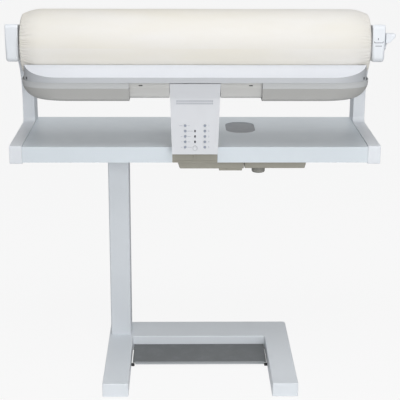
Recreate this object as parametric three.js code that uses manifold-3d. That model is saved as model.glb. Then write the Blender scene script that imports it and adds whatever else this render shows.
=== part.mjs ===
// A household flatwork ironer: a padded roller between two side arms, a heated
// shoe that rises to meet it, a work table, one offset column and a U-shaped
// foot with a treadle.
//
// Millimetres, +X to the user's right, +Y away from the user, +Z up.
// Sizes are worked out in a machine frame whose zero is the middle of the
// table's front edge on the floor; the finished group is then moved so that its
// origin is the bottom centre of the whole object.
import * as THREE from 'three';
import { mergeVertices } from 'three/addons/utils/BufferGeometryUtils.js';
import Module from 'manifold-3d';

const wasm = await Module();
wasm.setup();

// ---------------------------------------------------------------- driving sizes
const GAP = 0.3; // clearance left between touching pieces
const SHEET = 2.5; // wall of the moulded and pressed shells

const TABLE = { width: 1017, depth: 376, topZ: 636, height: 44, skin: 1.6 };
const ARM = { width: 34.5, proud: 2.5, drop: 4, uprightDepth: 72, wall: 3, rim: 4, coverPlate: 2.5 };
// The arm's head: its reach forwards, above and below the roller's axis, its corners and slopes.
const HEAD = {
  front: 49.5, above: 50.2, below: 46.4, topRadius: 10, lowerRadius: 14, innerRadius: 150,
  topFall: 9.5, underFall: 3,
};
// The cover turns in over `turn` at its tips and tapers slightly over the last `shoulder`.
const ROLLER = {
  y: 65.6, z: 910, radius: 92.5, tip: 473.4, turn: 9, shoulder: 64, taper: 0.19, cloth: 2.2, opening: 36,
};
const DRUM = { radius: 79, wall: 3, half: 452 };
const SHOE = {
  bore: 94, plate: 8, half: 455, trayHalf: 463, shellHalf: 466, fromAngle: 30, toAngle: 122,
  frontY: -64, bottomZ: 772, rearY: 136, splitX: 176.5, lipTopZ: 839.5, lipBottomZ: 825,
  shellStep: 5, middleStep: 9, middleRise: 7, endRadius: 48,
};
const SHOE_CORNER = { reach: 105, depth: 75, power: 2.4, rearClip: 20 };
const TRAY_BACK = { y: -16.3, z: 867 };
const SCREW_SLOT = { x: 146, z: 815.5, width: 10, height: 3 };
const LIFT_TRAVEL = 25; // the shoe sinks this far to open the gap for the linen
const COLUMN = { width: 59, depth: 71, wall: 2.5, x: -216.5, frontY: 95.4 };
const BASE = {
  legWidth: 69.5, height: 39.7, wall: 2.5, leftX: -216.5, rightX: 241.5,
  frontY: -234, crossFrontY: 84.6, backY: 194.6, clear: 2,
};
const PEDAL = { frontY: -44, backY: 83, topZ: 15.5, skin: 2, axleY: 70, axleZ: 7, axleRadius: 3.5 };
const PANEL = {
  x: -1.6, frontY: -36, bottomZ: 624, topZ: 778, neckTopZ: 822, neckY: -53,
  bottomHalf: 62, topHalf: 66.5, neckHalf: 67.8, backY: 64, sideBottomZ: 664,
};
const KEYS = { pitch: 14.85, topZ: 703.8, halfSpread: 26.5, radius: 3.5, count: 5 };
const POWER_BUTTON = { radius: 6.2, z: 642 };
const CUP = { x: 133.4, y: 237, width: 86, length: 140, corner: 34, depth: 26 };
const TANK_TOP = 604;
const LEVER_REACH = 27;
const AXIS = [ROLLER.y, ROLLER.z];
const BEARING = { inner: 12.3, outer: 24, length: 13.7 };
const MOTOR_SPINDLE = 20;
const BEAM = { frontY: 95.4, backY: 166.4, bottomZ: 594, topZ: 632 };
const RING_TEETH = 44;
const PINION_TEETH = 16;
const DRIVE_MODULE = 3;
const LIFT_TEETH = 14;
const LIFT_MODULE = 1.5;

// ---------------------------------------------------------------- finishes
const paint = (color, roughness, metalness = 0) =>
  new THREE.MeshStandardMaterial({ color, roughness, metalness });
const FINISH = {
  frame: paint(0xc8ccd0, 0.42, 0.15),
  table: paint(0xd3d8dc, 0.38, 0.15),
  casing: paint(0xe8eaec, 0.4),
  beige: paint(0xb2ae9d, 0.55),
  cloth: paint(0xeeebe0, 0.95),
  felt: paint(0xd9d2c0, 1),
  steel: paint(0x9fa3a6, 0.35, 0.9),
  shoe: paint(0xb9bdc1, 0.25, 0.9),
  dark: paint(0x5b5e60, 0.6),
  rubber: paint(0x2c2d2e, 0.85),
  keys: paint(0x9b9ea2, 0.5),
  brass: paint(0xb59a5a, 0.35, 0.8),
  board: paint(0x2f6b45, 0.6),
};

// ---------------------------------------------------------------- solids
/** Turns a closed three.js geometry into a solid that can be cut and joined. */
function solid(geometry) {
  const bare = geometry.clone();
  for (const name of Object.keys(bare.attributes)) {
    if (name !== 'position') bare.deleteAttribute(name);
  }
  const merged = mergeVertices(bare, 1e-4);
  return new wasm.Manifold(new wasm.Mesh({
    numProp: 3,
    vertProperties: new Float32Array(merged.attributes.position.array),
    triVerts: new Uint32Array(merged.index.array),
  }));
}

const group = new THREE.Group();

/** Adds a solid, or a finished geometry, to the object as a named mesh. */
function add(name, shape, material) {
  let geometry = shape;
  if (!shape.isBufferGeometry) {
    const made = shape.getMesh();
    geometry = new THREE.BufferGeometry();
    geometry.setAttribute('position', new THREE.BufferAttribute(made.vertProperties, 3));
    geometry.setIndex(new THREE.BufferAttribute(made.triVerts, 1));
    geometry = geometry.toNonIndexed();
    geometry.computeVertexNormals();
  }
  const mesh = new THREE.Mesh(geometry, material);
  mesh.name = name;
  group.add(mesh);
  return mesh;
}

const cut = (base, ...tools) => tools.reduce((left, tool) => left.subtract(tool), base);
const join = (base, ...more) => more.reduce((left, next) => left.add(next), base);

/** A box given by its low and high corners. */
function block(low, high) {
  const size = high.map((value, i) => value - low[i]);
  const middle = high.map((value, i) => (value + low[i]) / 2);
  return solid(new THREE.BoxGeometry(...size).translate(...middle));
}

/** A round bar along 'x', 'y' or 'z' from one end to the other. */
function bar(axis, from, to, centre, radius, sides = 24) {
  const geometry = new THREE.CylinderGeometry(radius, radius, to - from, sides);
  const middle = (from + to) / 2;
  if (axis === 'x') geometry.rotateZ(-Math.PI / 2).translate(middle, ...centre);
  if (axis === 'y') geometry.translate(centre[0], middle, centre[1]);
  if (axis === 'z') geometry.rotateX(Math.PI / 2).translate(...centre, middle);
  return solid(geometry);
}

/** A ring along an axis: the outer bar less the inner one. */
function ring(axis, from, to, centre, outer, inner, sides = 24) {
  return bar(axis, from, to, centre, outer, sides)
    .subtract(bar(axis, from - 1, to + 1, centre, inner, sides));
}

/**
 * A closed outline from corners [u, v, radius], anticlockwise. `inset` moves every
 * side inwards and adjusts the corner radii to match.
 */
function outline(corners, inset = 0, degreesPerStep = 15) {
  const count = corners.length;
  const at = (i) => new THREE.Vector2(corners[(i + count) % count][0], corners[(i + count) % count][1]);
  const sides = corners.map((_, i) => {
    const along = at(i + 1).sub(at(i)).normalize();
    const inward = new THREE.Vector2(-along.y, along.x);
    return { along, inward, from: at(i).addScaledVector(inward, inset) };
  });
  const points = [];
  for (let i = 0; i < count; i++) {
    const before = sides[(i - 1 + count) % count];
    const after = sides[i];
    const turn = before.along.cross(after.along);
    const reach = after.from.clone().sub(before.from).cross(after.along) / turn;
    const corner = before.from.clone().addScaledVector(before.along, reach);
    const radius = (corners[i][2] || 0) - Math.sign(turn) * inset;
    const angle = Math.asin(Math.min(1, Math.abs(turn)));
    const bend = before.along.dot(after.along) < 0 ? Math.PI - angle : angle;
    if (!corners[i][2] || radius <= 0.2) {
      points.push(corner);
      continue;
    }
    const back = radius * Math.tan(bend / 2);
    const start = corner.clone().addScaledVector(before.along, -back);
    const centre = start.clone().addScaledVector(before.inward, Math.sign(turn) * radius);
    const steps = Math.max(2, Math.ceil(THREE.MathUtils.radToDeg(bend) / degreesPerStep));
    for (let k = 0; k <= steps; k++) {
      const swing = (Math.sign(turn) * bend * k) / steps;
      points.push(start.clone().sub(centre).rotateAround(new THREE.Vector2(), swing).add(centre));
    }
  }
  return new THREE.Shape(points);
}

/** Corners of an upright rectangle with one radius. */
const rectangle = (u0, v0, u1, v1, radius = 0) =>
  [[u0, v0, radius], [u1, v0, radius], [u1, v1, radius], [u0, v1, radius]];

const AXES = {
  x: new THREE.Matrix4().makeBasis(
    new THREE.Vector3(0, 1, 0), new THREE.Vector3(0, 0, 1), new THREE.Vector3(1, 0, 0)),
  y: new THREE.Matrix4().makeBasis(
    new THREE.Vector3(1, 0, 0), new THREE.Vector3(0, 0, 1), new THREE.Vector3(0, -1, 0)),
  z: new THREE.Matrix4(),
};

/**
 * Pushes an outline along an axis. The outline is (Y, Z) for 'x', (X, Z) for 'y'
 * and (X, Y) for 'z'.
 */
function prism(axis, shape, from, to) {
  const geometry = new THREE.ExtrudeGeometry(shape, {
    depth: to - from, bevelEnabled: false, curveSegments: 8,
  });
  geometry.applyMatrix4(AXES[axis]);
  if (axis === 'x') geometry.translate(from, 0, 0);
  if (axis === 'y') geometry.translate(0, to, 0);
  if (axis === 'z') geometry.translate(0, 0, from);
  return solid(geometry);
}

/** A body turned about the roller's axis from a closed profile of [x, radius]. */
function turned(profile, sides = 36) {
  const geometry = new THREE.LatheGeometry(
    profile.map(([x, radius]) => new THREE.Vector2(radius, x)), sides);
  geometry.rotateZ(-Math.PI / 2).translate(0, ROLLER.y, ROLLER.z);
  let made = solid(geometry);
  if (made.volume() < 0) {
    geometry.index.array.reverse();
    made = solid(geometry);
  }
  return made;
}

/** The outline of a spur gear, or of the hole that an internal gear's teeth leave. */
function gearOutline(teeth, module, { internal = false, backlash = 0.12, phase = 0 } = {}) {
  const pitch = (teeth * module) / 2;
  const tip = pitch + (internal ? -0.8 : 0.85) * module;
  const root = pitch + (internal ? 1.1 : -1.15) * module;
  const half = Math.PI / teeth / 2;
  const points = [];
  for (let i = 0; i < teeth; i++) {
    const middle = phase + (i * 2 * Math.PI) / teeth;
    const share = backlash * half;
    const spots = [
      [root, -half * 1.42 + share], [tip, -half * 0.52 + share],
      [tip, half * 0.52 - share], [root, half * 1.42 - share],
    ];
    for (const [radius, angle] of spots) {
      points.push(new THREE.Vector2(radius * Math.cos(middle + angle), radius * Math.sin(middle + angle)));
    }
  }
  return points;
}

// ---------------------------------------------------------------- foot frame
const legEdges = (x) => [x - BASE.legWidth / 2, x + BASE.legWidth / 2];
const [leftOuter, leftInner] = legEdges(BASE.leftX);
const [rightInner, rightOuter] = legEdges(BASE.rightX);

/** The U-shaped foot: one folded sheet shell, open below. */
function baseFrame() {
  const corners = [
    [leftOuter, BASE.frontY, 3], [leftInner, BASE.frontY, 3], [leftInner, BASE.crossFrontY, 3],
    [rightInner, BASE.crossFrontY, 3], [rightInner, BASE.frontY, 3], [rightOuter, BASE.frontY, 3],
    [rightOuter, BASE.backY, 8], [leftOuter, BASE.backY, 8],
  ];
  const outer = prism('z', outline(corners, 0, 30), BASE.clear, BASE.height);
  const inner = prism('z', outline(corners, BASE.wall, 30), BASE.clear - 1, BASE.height - BASE.wall);
  return outer.subtract(inner);
}

/** A rubber pad with the pin that holds it in the foot. */
function floorGlide(x, y) {
  const pad = bar('z', 0, 4.5, [x, y], 17, 20);
  return join(pad, bar('z', 4, BASE.height - BASE.wall - GAP, [x, y], 6, 12));
}

function foot() {
  add('base_frame', baseFrame(), FINISH.frame);
  const glideFrontY = BASE.frontY + 32;
  const glideBackY = BASE.backY - 34;
  add('floor_glide_front_left', floorGlide(BASE.leftX, glideFrontY), FINISH.rubber);
  add('floor_glide_front_right', floorGlide(BASE.rightX, glideFrontY), FINISH.rubber);
  add('floor_glide_rear_left', floorGlide(BASE.leftX, glideBackY), FINISH.rubber);
  add('floor_glide_rear_right', floorGlide(BASE.rightX, glideBackY), FINISH.rubber);
}

// ---------------------------------------------------------------- treadle
const pedalLeft = leftInner + 4;
const pedalRight = rightInner - 3;

/** The treadle's deck with its front lip and the two ears on the axle. */
function pedalPlate() {
  const side = [
    [PEDAL.frontY, PEDAL.topZ - 7, 0], [PEDAL.frontY + PEDAL.skin, PEDAL.topZ - 7, 0],
    [PEDAL.frontY + PEDAL.skin, PEDAL.topZ - PEDAL.skin, 0], [PEDAL.backY, PEDAL.topZ - PEDAL.skin, 0],
    [PEDAL.backY, PEDAL.topZ, 0], [PEDAL.frontY, PEDAL.topZ, 1.5],
  ];
  let plate = prism('x', outline(side), pedalLeft, pedalRight);
  for (const x of [pedalLeft, pedalRight - 3]) {
    const ear = [
      [PEDAL.axleY - 9, PEDAL.axleZ - 3.5, 2], [PEDAL.axleY + 7, PEDAL.axleZ - 5.5, 4],
      [PEDAL.axleY + 9, PEDAL.topZ - 1, 0], [PEDAL.axleY - 18, PEDAL.topZ - 1, 0],
    ];
    plate = plate.add(prism('x', outline(ear), x, x + 3));
  }
  for (const [x0, x1] of [[pedalLeft - 1, pedalLeft + 7], [pedalRight - 7, pedalRight + 1]]) {
    plate = plate.subtract(block(
      [x0, PEDAL.frontY - 1, 0], [x1, PEDAL.frontY + 3, PEDAL.topZ - PEDAL.skin]));
  }
  const bore = bar('x', pedalLeft - 2, pedalRight + 2, [PEDAL.axleY, PEDAL.axleZ], PEDAL.axleRadius + GAP, 20);
  return plate.subtract(bore);
}

/** The torsion spring wound round the treadle's axle. */
function pedalSpring() {
  const turns = 6;
  const wire = 0.8;
  const radius = PEDAL.axleRadius + 1.3;
  const stepsPerTurn = 10;
  const middleX = (pedalLeft + pedalRight) / 2;
  const path = [];
  for (let i = 0; i <= turns * stepsPerTurn; i++) {
    const angle = (i * 2 * Math.PI) / stepsPerTurn;
    path.push(new THREE.Vector3(
      middleX - 9 + (18 * i) / (turns * stepsPerTurn),
      PEDAL.axleY + radius * Math.cos(angle),
      PEDAL.axleZ + radius * Math.sin(angle)));
  }
  const section = new THREE.Shape(Array.from({ length: 6 }, (_, k) => new THREE.Vector2(
    wire * Math.cos((k * Math.PI) / 3), wire * Math.sin((k * Math.PI) / 3))));
  const geometry = new THREE.ExtrudeGeometry(section, {
    steps: turns * stepsPerTurn, extrudePath: new THREE.CatmullRomCurve3(path), bevelEnabled: false,
  });
  return solid(geometry);
}

function treadle() {
  add('foot_pedal', pedalPlate(), FINISH.dark);
  add('pedal_axle', bar('x', leftInner + GAP, rightInner - GAP, [PEDAL.axleY, PEDAL.axleZ],
    PEDAL.axleRadius, 20), FINISH.steel);
  add('pedal_spring', pedalSpring(), FINISH.steel);
  const stopY = PEDAL.frontY + 1;
  const stopBack = stopY + 12;
  add('pedal_stop_left', block([leftInner + GAP, stopY, 2], [leftInner + 9, stopBack, 7.5]), FINISH.rubber);
  add('pedal_stop_right', block([rightInner - 9, stopY, 2], [rightInner - GAP, stopBack, 7.5]), FINISH.rubber);
}

// ---------------------------------------------------------------- column and beam
/** The offset column with its head plate, and the beam that carries table and arms. */
function columnAndBeam() {
  const half = COLUMN.width / 2;
  const corners = rectangle(COLUMN.x - half, COLUMN.frontY, COLUMN.x + half, COLUMN.frontY + COLUMN.depth, 4);
  const foot0 = BASE.height + GAP;
  const top = BEAM.bottomZ - 6;
  const tube = prism('z', outline(corners, 0, 30), foot0, top)
    .subtract(prism('z', outline(corners, COLUMN.wall, 30), foot0 - 1, top - 0.5));
  const plate = block(
    [COLUMN.x - 62, COLUMN.frontY - 8, top - 0.5],
    [COLUMN.x + 62, COLUMN.frontY + COLUMN.depth + 8, BEAM.bottomZ - GAP]);
  const boltHeads = [-46, 46].flatMap((dx) => [14, COLUMN.depth - 14].map((dy) =>
    bar('z', BEAM.bottomZ - 10, top, [COLUMN.x + dx, COLUMN.frontY + dy], 6.5, 6)));
  add('column', join(tube, plate, ...boltHeads), FINISH.frame);

  const inside = TABLE.width / 2 - ARM.width - TABLE.skin - 2 * GAP;
  const tubeBeam = prism('x', outline(rectangle(BEAM.frontY, BEAM.bottomZ, BEAM.backY, BEAM.topZ, 4), 0, 45),
    -inside, inside);
  const hollow = prism('x', outline(rectangle(BEAM.frontY, BEAM.bottomZ, BEAM.backY, BEAM.topZ, 4), 3, 45),
    -inside - 1, inside + 1);
  add('cross_beam', tubeBeam.subtract(hollow), FINISH.frame);
}

// ---------------------------------------------------------------- table
const NOTCH = { half: 62, backY: 70 };
const cupCorners = (inset) => {
  const { x, y, width, length, corner } = CUP;
  return outline(rectangle(x - width / 2, y - length / 2, x + width / 2, y + length / 2, corner), inset, 18);
};

/** The folded table with the notch for the lift and the hole for the cup. */
function tableTop() {
  const half = TABLE.width / 2 - ARM.width - GAP;
  const low = TABLE.topZ - TABLE.height;
  const side = rectangle(0, low, TABLE.depth, TABLE.topZ, 2.5);
  const outer = prism('x', outline(side, 0, 45), -half, half);
  const inner = block(
    [-half + TABLE.skin, TABLE.skin, low - 1],
    [half - TABLE.skin, TABLE.depth - TABLE.skin, TABLE.topZ - TABLE.skin]);
  const notch = block([PANEL.x - NOTCH.half, -1, low - 1], [PANEL.x + NOTCH.half, NOTCH.backY, TABLE.topZ + 1]);
  const cupHole = prism('z', cupCorners(2), TABLE.topZ - 8, TABLE.topZ + 1);
  return cut(outer, inner, notch, cupHole);
}

/** The sunk cup that the water is poured in, with its spout into the tank. */
function fillerCup() {
  const rimTop = TABLE.topZ - TABLE.skin - GAP;
  const floor = rimTop - CUP.depth;
  const rim = prism('z', cupCorners(-3), rimTop - 2, rimTop);
  const body = prism('z', cupCorners(0.5), floor, rimTop - 1);
  const bowl = prism('z', cupCorners(2.5), floor + 2, rimTop + 1);
  const drainAt = [CUP.x, CUP.y + 30];
  const spout = bar('z', TANK_TOP + GAP, floor + 1, drainAt, 9, 16);
  return cut(join(rim, body, spout), bowl, bar('z', TANK_TOP, floor + 3, drainAt, 6.5, 16));
}

function table() {
  add('table_top', tableTop(), FINISH.table);
  add('filler_cup', fillerCup(), FINISH.dark);
}

// ---------------------------------------------------------------- side arms
/** The arm's side outline: table rail, rear upright, falling top bar and flat-fronted head. */
function armCorners() {
  const railTop = TABLE.topZ + ARM.proud;
  const railBottom = TABLE.topZ - TABLE.height - ARM.drop;
  const front = ROLLER.y - HEAD.front;
  const topSlope = Math.tan(THREE.MathUtils.degToRad(HEAD.topFall));
  const underSlope = Math.tan(THREE.MathUtils.degToRad(HEAD.underFall));
  const topAt = (y) => ROLLER.z + HEAD.above - (y - ROLLER.y) * topSlope;
  const underAt = (y) => ROLLER.z - HEAD.below - (y - ROLLER.y) * underSlope;
  const uprightY = TABLE.depth - ARM.uprightDepth;
  return [
    [0, railBottom, 3], [TABLE.depth, railBottom, 12], [TABLE.depth, topAt(TABLE.depth), 45],
    [front, topAt(front), HEAD.topRadius], [front, underAt(front), HEAD.lowerRadius],
    [uprightY, underAt(uprightY), HEAD.innerRadius], [uprightY, railTop, 14], [0, railTop, 3],
  ];
}

/** One arm as a hollow casting, open on its outer side; side is -1 or 1. */
function armShell(side) {
  const inner = TABLE.width / 2 - ARM.width;
  const outer = TABLE.width / 2;
  const span = (a, b) => (side > 0 ? [a, b] : [-b, -a]);
  const body = prism('x', outline(armCorners(), 0, 12), ...span(inner, outer));
  const hollow = prism('x', outline(armCorners(), ARM.rim, 12), ...span(inner + ARM.wall, outer + 1));
  const seat = side < 0
    ? { bore: BEARING.outer + GAP, from: ARM.wall, through: BEARING.inner + 1.7 }
    : { bore: MOTOR_SPINDLE + GAP, from: -1, through: MOTOR_SPINDLE + GAP };
  const boss = bar('x', ...span(inner + 1, inner + 20), AXIS, 31, 24);
  const bore = bar('x', ...span(inner + seat.from, inner + 30), AXIS, seat.bore, 24);
  const through = bar('x', ...span(inner - 1, inner + 5), AXIS, seat.through, 24);
  return cut(join(body.subtract(hollow), boss), bore, through);
}

/** The plate that closes an arm's outer side. */
function armCover(side) {
  const outer = TABLE.width / 2;
  const span = side > 0 ? [outer - ARM.coverPlate, outer - 0.4] : [-outer + 0.4, -outer + ARM.coverPlate];
  const plate = prism('x', outline(armCorners(), ARM.rim + GAP, 12), ...span);
  if (side < 0) return plate;
  return plate.subtract(bar('x', outer - 6, outer + 2, AXIS, 7.3, 20));
}

function arms() {
  add('side_arm_left', armShell(-1), FINISH.casing);
  add('side_arm_right', armShell(1), FINISH.casing);
  add('arm_cover_left', armCover(-1), FINISH.casing);
  add('arm_cover_right', armCover(1), FINISH.casing);
}

// ---------------------------------------------------------------- hand lever
const LEVER_TIP = { y: 24, z: 931, radius: 12.5 };

/** The hand lever on the right head: hub, stub, flat arm and round grip. */
function releaseLever() {
  const face = TABLE.width / 2;
  const hub = bar('x', face + GAP, face + 9, AXIS, 18, 24);
  const stub = bar('x', face - 12, face + 1, AXIS, 7, 20);
  const reach = Math.hypot(ROLLER.y - LEVER_TIP.y, LEVER_TIP.z - ROLLER.z);
  const lean = Math.atan2(LEVER_TIP.z - ROLLER.z, LEVER_TIP.y - ROLLER.y);
  const flat = outline([[0, -12, 4], [reach, -10, 6], [reach, 10, 6], [0, 12, 4]]);
  const arm = prism('x', flat, face + 1.2, face + 8.4);
  const turn = new THREE.Matrix4().makeRotationX(lean).setPosition(0, ROLLER.y, ROLLER.z);
  const armPlaced = arm.transform(turn.elements);
  const grip = bar('x', face + 1.4, face + LEVER_REACH, [LEVER_TIP.y, LEVER_TIP.z], LEVER_TIP.radius, 24);
  return join(hub, stub, armPlaced, grip);
}

// ---------------------------------------------------------------- roller
/** Radius of the padded roller at a distance from its tip. */
function shoulderRadius(distance, radius) {
  const turn = Math.max(0, 1 - distance / ROLLER.turn);
  const fade = Math.max(0, 1 - distance / ROLLER.shoulder);
  return radius * Math.sqrt(1 - turn ** 2) * (1 - ROLLER.taper * fade ** 2);
}

/** Points [x, radius] over one shoulder, from the given distance inwards. */
function shoulder(half, radius, firstDistance, steps) {
  const points = [];
  for (let i = 0; i <= steps; i++) {
    const eased = (i / steps) ** 2.6;
    const distance = firstDistance + (ROLLER.shoulder - firstDistance) * eased;
    points.push([-half + distance, shoulderRadius(distance, radius)]);
  }
  return points;
}

const mirrored = (points) => points.map(([x, radius]) => [-x, radius]).reverse();

/** The cotton cover as a thin turned shell, drawn in to an opening at each end. */
function rollerCover() {
  const { tip, radius, cloth, opening } = ROLLER;
  const hem = 1.2;
  const outer = shoulder(tip, radius, 1.6, 9);
  const inner = shoulder(tip - cloth, radius - cloth, 2, 9);
  const end = tip - hem;
  return turned([
    [-end, opening], ...outer, ...mirrored(outer), [end, opening],
    [end - cloth, opening], ...[...inner, ...mirrored(inner)].reverse(),
    [-end + cloth, opening], [-end, opening],
  ]);
}

/** The felt between drum and cover, ending where the cover turns in. */
function rollerPadding() {
  const room = ROLLER.cloth + 4 * GAP;
  const outer = shoulder(ROLLER.tip - room, ROLLER.radius - room, 22, 4);
  const bore = DRUM.radius + GAP;
  const endX = outer[0][0];
  return turned([
    [endX, bore], ...outer, ...mirrored(outer), [-endX, bore], [endX, bore],
  ]);
}

/** The steel tube inside the roller. */
function drumShell() {
  const inner = DRUM.radius - DRUM.wall;
  return turned([
    [-DRUM.half, inner], [-DRUM.half, DRUM.radius], [DRUM.half, DRUM.radius], [DRUM.half, inner],
    [-DRUM.half, inner],
  ]);
}

function rollerParts() {
  add('roller_cover', rollerCover(), FINISH.cloth);
  add('roller_padding', rollerPadding(), FINISH.felt);
  add('roller_drum', drumShell(), FINISH.steel);
  const capRadius = DRUM.radius - DRUM.wall - GAP;
  const leftCap = join(
    bar('x', -DRUM.half, -DRUM.half + 8, AXIS, capRadius, 36),
    bar('x', -DRUM.half - 12, -DRUM.half + 2, AXIS, 28, 24),
    bar('x', -500, -DRUM.half + 1, AXIS, 12, 24));
  add('drum_cap_left', leftCap, FINISH.steel);
  const rightCap = cut(
    join(
      bar('x', DRUM.half - 8, DRUM.half, AXIS, capRadius, 36),
      bar('x', DRUM.half - 16, DRUM.half + 12, AXIS, 36, 24)),
    bar('x', DRUM.half - 20, DRUM.half + 14, AXIS, 30.3, 24));
  add('drum_cap_right', rightCap, FINISH.steel);
  const rim = new THREE.Path().absarc(0, 0, capRadius, 0, 2 * Math.PI).getPoints(36).slice(0, -1);
  const teeth = new THREE.Shape(rim);
  teeth.holes.push(new THREE.Path(
    gearOutline(RING_TEETH, DRIVE_MODULE, { internal: true, phase: Math.PI / RING_TEETH })));
  add('ring_gear', prism('x', teeth, 128, 144).translate([0, ...AXIS]), FINISH.brass);
}

/** The tubular gear motor stands still inside the drum, on the right arm's spindle. */
function rollerDrive() {
  const offset = ((RING_TEETH - PINION_TEETH) * DRIVE_MODULE) / 2;
  add('roller_motor', join(
    bar('x', 160, 172, AXIS, 56, 32),
    bar('x', 171, 410, AXIS, 38, 24),
    bar('x', 409, TABLE.width / 2 - ARM.width + 20, AXIS, MOTOR_SPINDLE, 24)), FINISH.steel);
  const pinionAxis = [ROLLER.y, ROLLER.z + offset];
  const outlineShape = new THREE.Shape(gearOutline(PINION_TEETH, DRIVE_MODULE, { phase: Math.PI / 2 }));
  const pinion = prism('x', outlineShape, 129, 143).translate([0, ...pinionAxis]);
  const shaft = bar('x', 142, 160 - GAP, pinionAxis, 7, 16);
  add('drive_pinion', pinion.add(shaft), FINISH.brass);
  const inner = -(TABLE.width / 2 - ARM.width);
  const bearingFrom = inner - ARM.wall - GAP - BEARING.length;
  add('bearing_left', ring('x', bearingFrom, bearingFrom + BEARING.length, AXIS, BEARING.outer, BEARING.inner),
    FINISH.steel);
  add('bearing_right', ring('x', DRUM.half - 14, DRUM.half + 6, AXIS, 30, 20.3), FINISH.steel);
}

// ---------------------------------------------------------------- shoe
/** A point on a circle about the roller's axis; angle down from straight ahead. */
function rollerPoint(radius, degrees) {
  const angle = THREE.MathUtils.degToRad(degrees);
  return [ROLLER.y - radius * Math.cos(angle), ROLLER.z - radius * Math.sin(angle)];
}

/** A bar curved round the roller, between two radii and two angles. */
function sector(inner, outer, from, to, half) {
  const steps = Math.ceil((to - from) / 5);
  const sweep = (radius) => Array.from({ length: steps + 1 }, (_, i) =>
    rollerPoint(radius, from + ((to - from) * i) / steps));
  const points = [...sweep(inner), ...sweep(outer).reverse()];
  return prism('x', new THREE.Shape(points.map(([y, z]) => new THREE.Vector2(y, z))), -half, half);
}

/** Plan outline of tray or shells, with the long rounded front corners. */
function planOutline(half, front, inset) {
  const { reach, depth, power, rearClip } = SHOE_CORNER;
  const side = half - inset;
  const back = SHOE.rearY - inset;
  const steps = 12;
  const corner = [];
  for (let i = 0; i <= steps; i++) {
    const angle = (i * Math.PI) / (2 * steps);
    const u = Math.sin(angle) ** (2 / power);
    const v = Math.cos(angle) ** (2 / power);
    corner.push([side - (reach - inset) * (1 - u), front + inset + (depth - inset) * (1 - v)]);
  }
  const points = [
    ...corner.map(([x, y]) => [-x, y]).reverse(), ...corner,
    [side, back - rearClip], [side - rearClip, back], [-side + rearClip, back], [-side, back - rearClip],
  ];
  return new THREE.Shape(points.map(([x, y]) => new THREE.Vector2(x, y)));
}

const rollerRoom = (radius) => bar('x', -500, 500, AXIS, radius, 72);

/** The sloping tray in front of the roller, hollow below, with a rolled front lip. */
function feedTray() {
  const innerY = -13;
  const slope = (TRAY_BACK.z - SHOE.lipTopZ) / (TRAY_BACK.y - SHOE.frontY);
  const topAt = (y) => SHOE.lipTopZ + (y - SHOE.frontY) * slope;
  const side = [
    [SHOE.frontY, SHOE.lipBottomZ, 0], [innerY, SHOE.lipBottomZ, 0],
    [innerY, topAt(innerY), 0], [SHOE.frontY, SHOE.lipTopZ, 2.5],
  ];
  const wide = SHOE.trayHalf + 5;
  const plan = (inset) => prism('z', planOutline(SHOE.trayHalf, SHOE.frontY, inset), 700, 900);
  const outer = prism('x', outline(side, 0, 30), -wide, wide).intersect(plan(0));
  const skin = SHEET * Math.hypot(1, slope);
  const low = SHOE.lipBottomZ - 5;
  const [frontEnd, backEnd] = [SHOE.frontY - 5, innerY + 5];
  const under = [
    [frontEnd, low, 0], [backEnd, low, 0],
    [backEnd, topAt(backEnd) - skin, 0], [frontEnd, topAt(frontEnd) - skin, 0],
  ];
  const inner = prism('x', outline(under), -wide, wide).intersect(plan(SHEET));
  const plateRoom = sector(SHOE.bore - 1, SHOE.bore + SHOE.plate + 0.6, SHOE.fromAngle - 0.4, 60, 500);
  return cut(outer, inner, rollerRoom(SHOE.bore + 0.4), plateRoom);
}

/** Side outline of the shells below the tray; setBack moves the front wall rearwards. */
function shellSide(setBack, inset, floor = SHOE.bottomZ) {
  return outline([
    [-46 + setBack, floor, 9], [SHOE.rearY - 1, floor, 12], [SHOE.rearY - 1, 845, 0],
    [-59 + setBack, 845, 0], [-56 + setBack, 807, 0],
  ], inset, 30);
}

/** Front outline with round lower corners. */
function shellFront(inset, floor = SHOE.bottomZ) {
  const half = SHOE.shellHalf - inset;
  const low = floor + inset;
  return outline([
    [-half, low, SHOE.endRadius], [half, low, SHOE.endRadius], [half, 845, 0], [-half, 845, 0],
  ], 0, 10);
}

/** The whole trough below the tray, for one set-back and floor height. */
function shellPiece(setBack, floor) {
  const wide = SHOE.shellHalf + 5;
  const level = SHOE.lipBottomZ - GAP;
  const form = (inset) => prism('x', shellSide(setBack, inset, floor), -wide, wide)
    .intersect(prism('z', planOutline(SHOE.shellHalf, SHOE.frontY + SHOE.shellStep, inset), 700, 900))
    .intersect(prism('y', shellFront(inset, floor), -200, 300));
  const frontTop = block([-wide, -100, level], [wide, ROLLER.y, 900]);
  return cut(form(0), form(SHEET), rollerRoom(SHOE.bore + SHOE.plate + 0.8), frontTop);
}

/** The neck and panel of the control column, as seen from the side. */
const neckSide = (inset) => outline([
  [PANEL.frontY, PANEL.bottomZ, 2], [PANEL.backY, PANEL.bottomZ, 0], [PANEL.backY, PANEL.topZ - 1, 0],
  [-8, PANEL.topZ - 1, 0], [-8, PANEL.neckTopZ, 0],
  [PANEL.neckY, PANEL.neckTopZ, 0], [PANEL.frontY, PANEL.topZ, 20],
], inset, 12);

/** The neck and panel from the front: a little wider towards the top. */
const neckFront = (inset) => new THREE.Shape([
  [-PANEL.bottomHalf + inset, PANEL.bottomZ - 5], [PANEL.bottomHalf - inset, PANEL.bottomZ - 5],
  [PANEL.topHalf - inset, PANEL.topZ], [PANEL.neckHalf - inset, PANEL.neckTopZ + 5],
  [-PANEL.neckHalf + inset, PANEL.neckTopZ + 5], [-PANEL.topHalf + inset, PANEL.topZ],
].map(([x, z]) => new THREE.Vector2(x + PANEL.x, z)));

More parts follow.
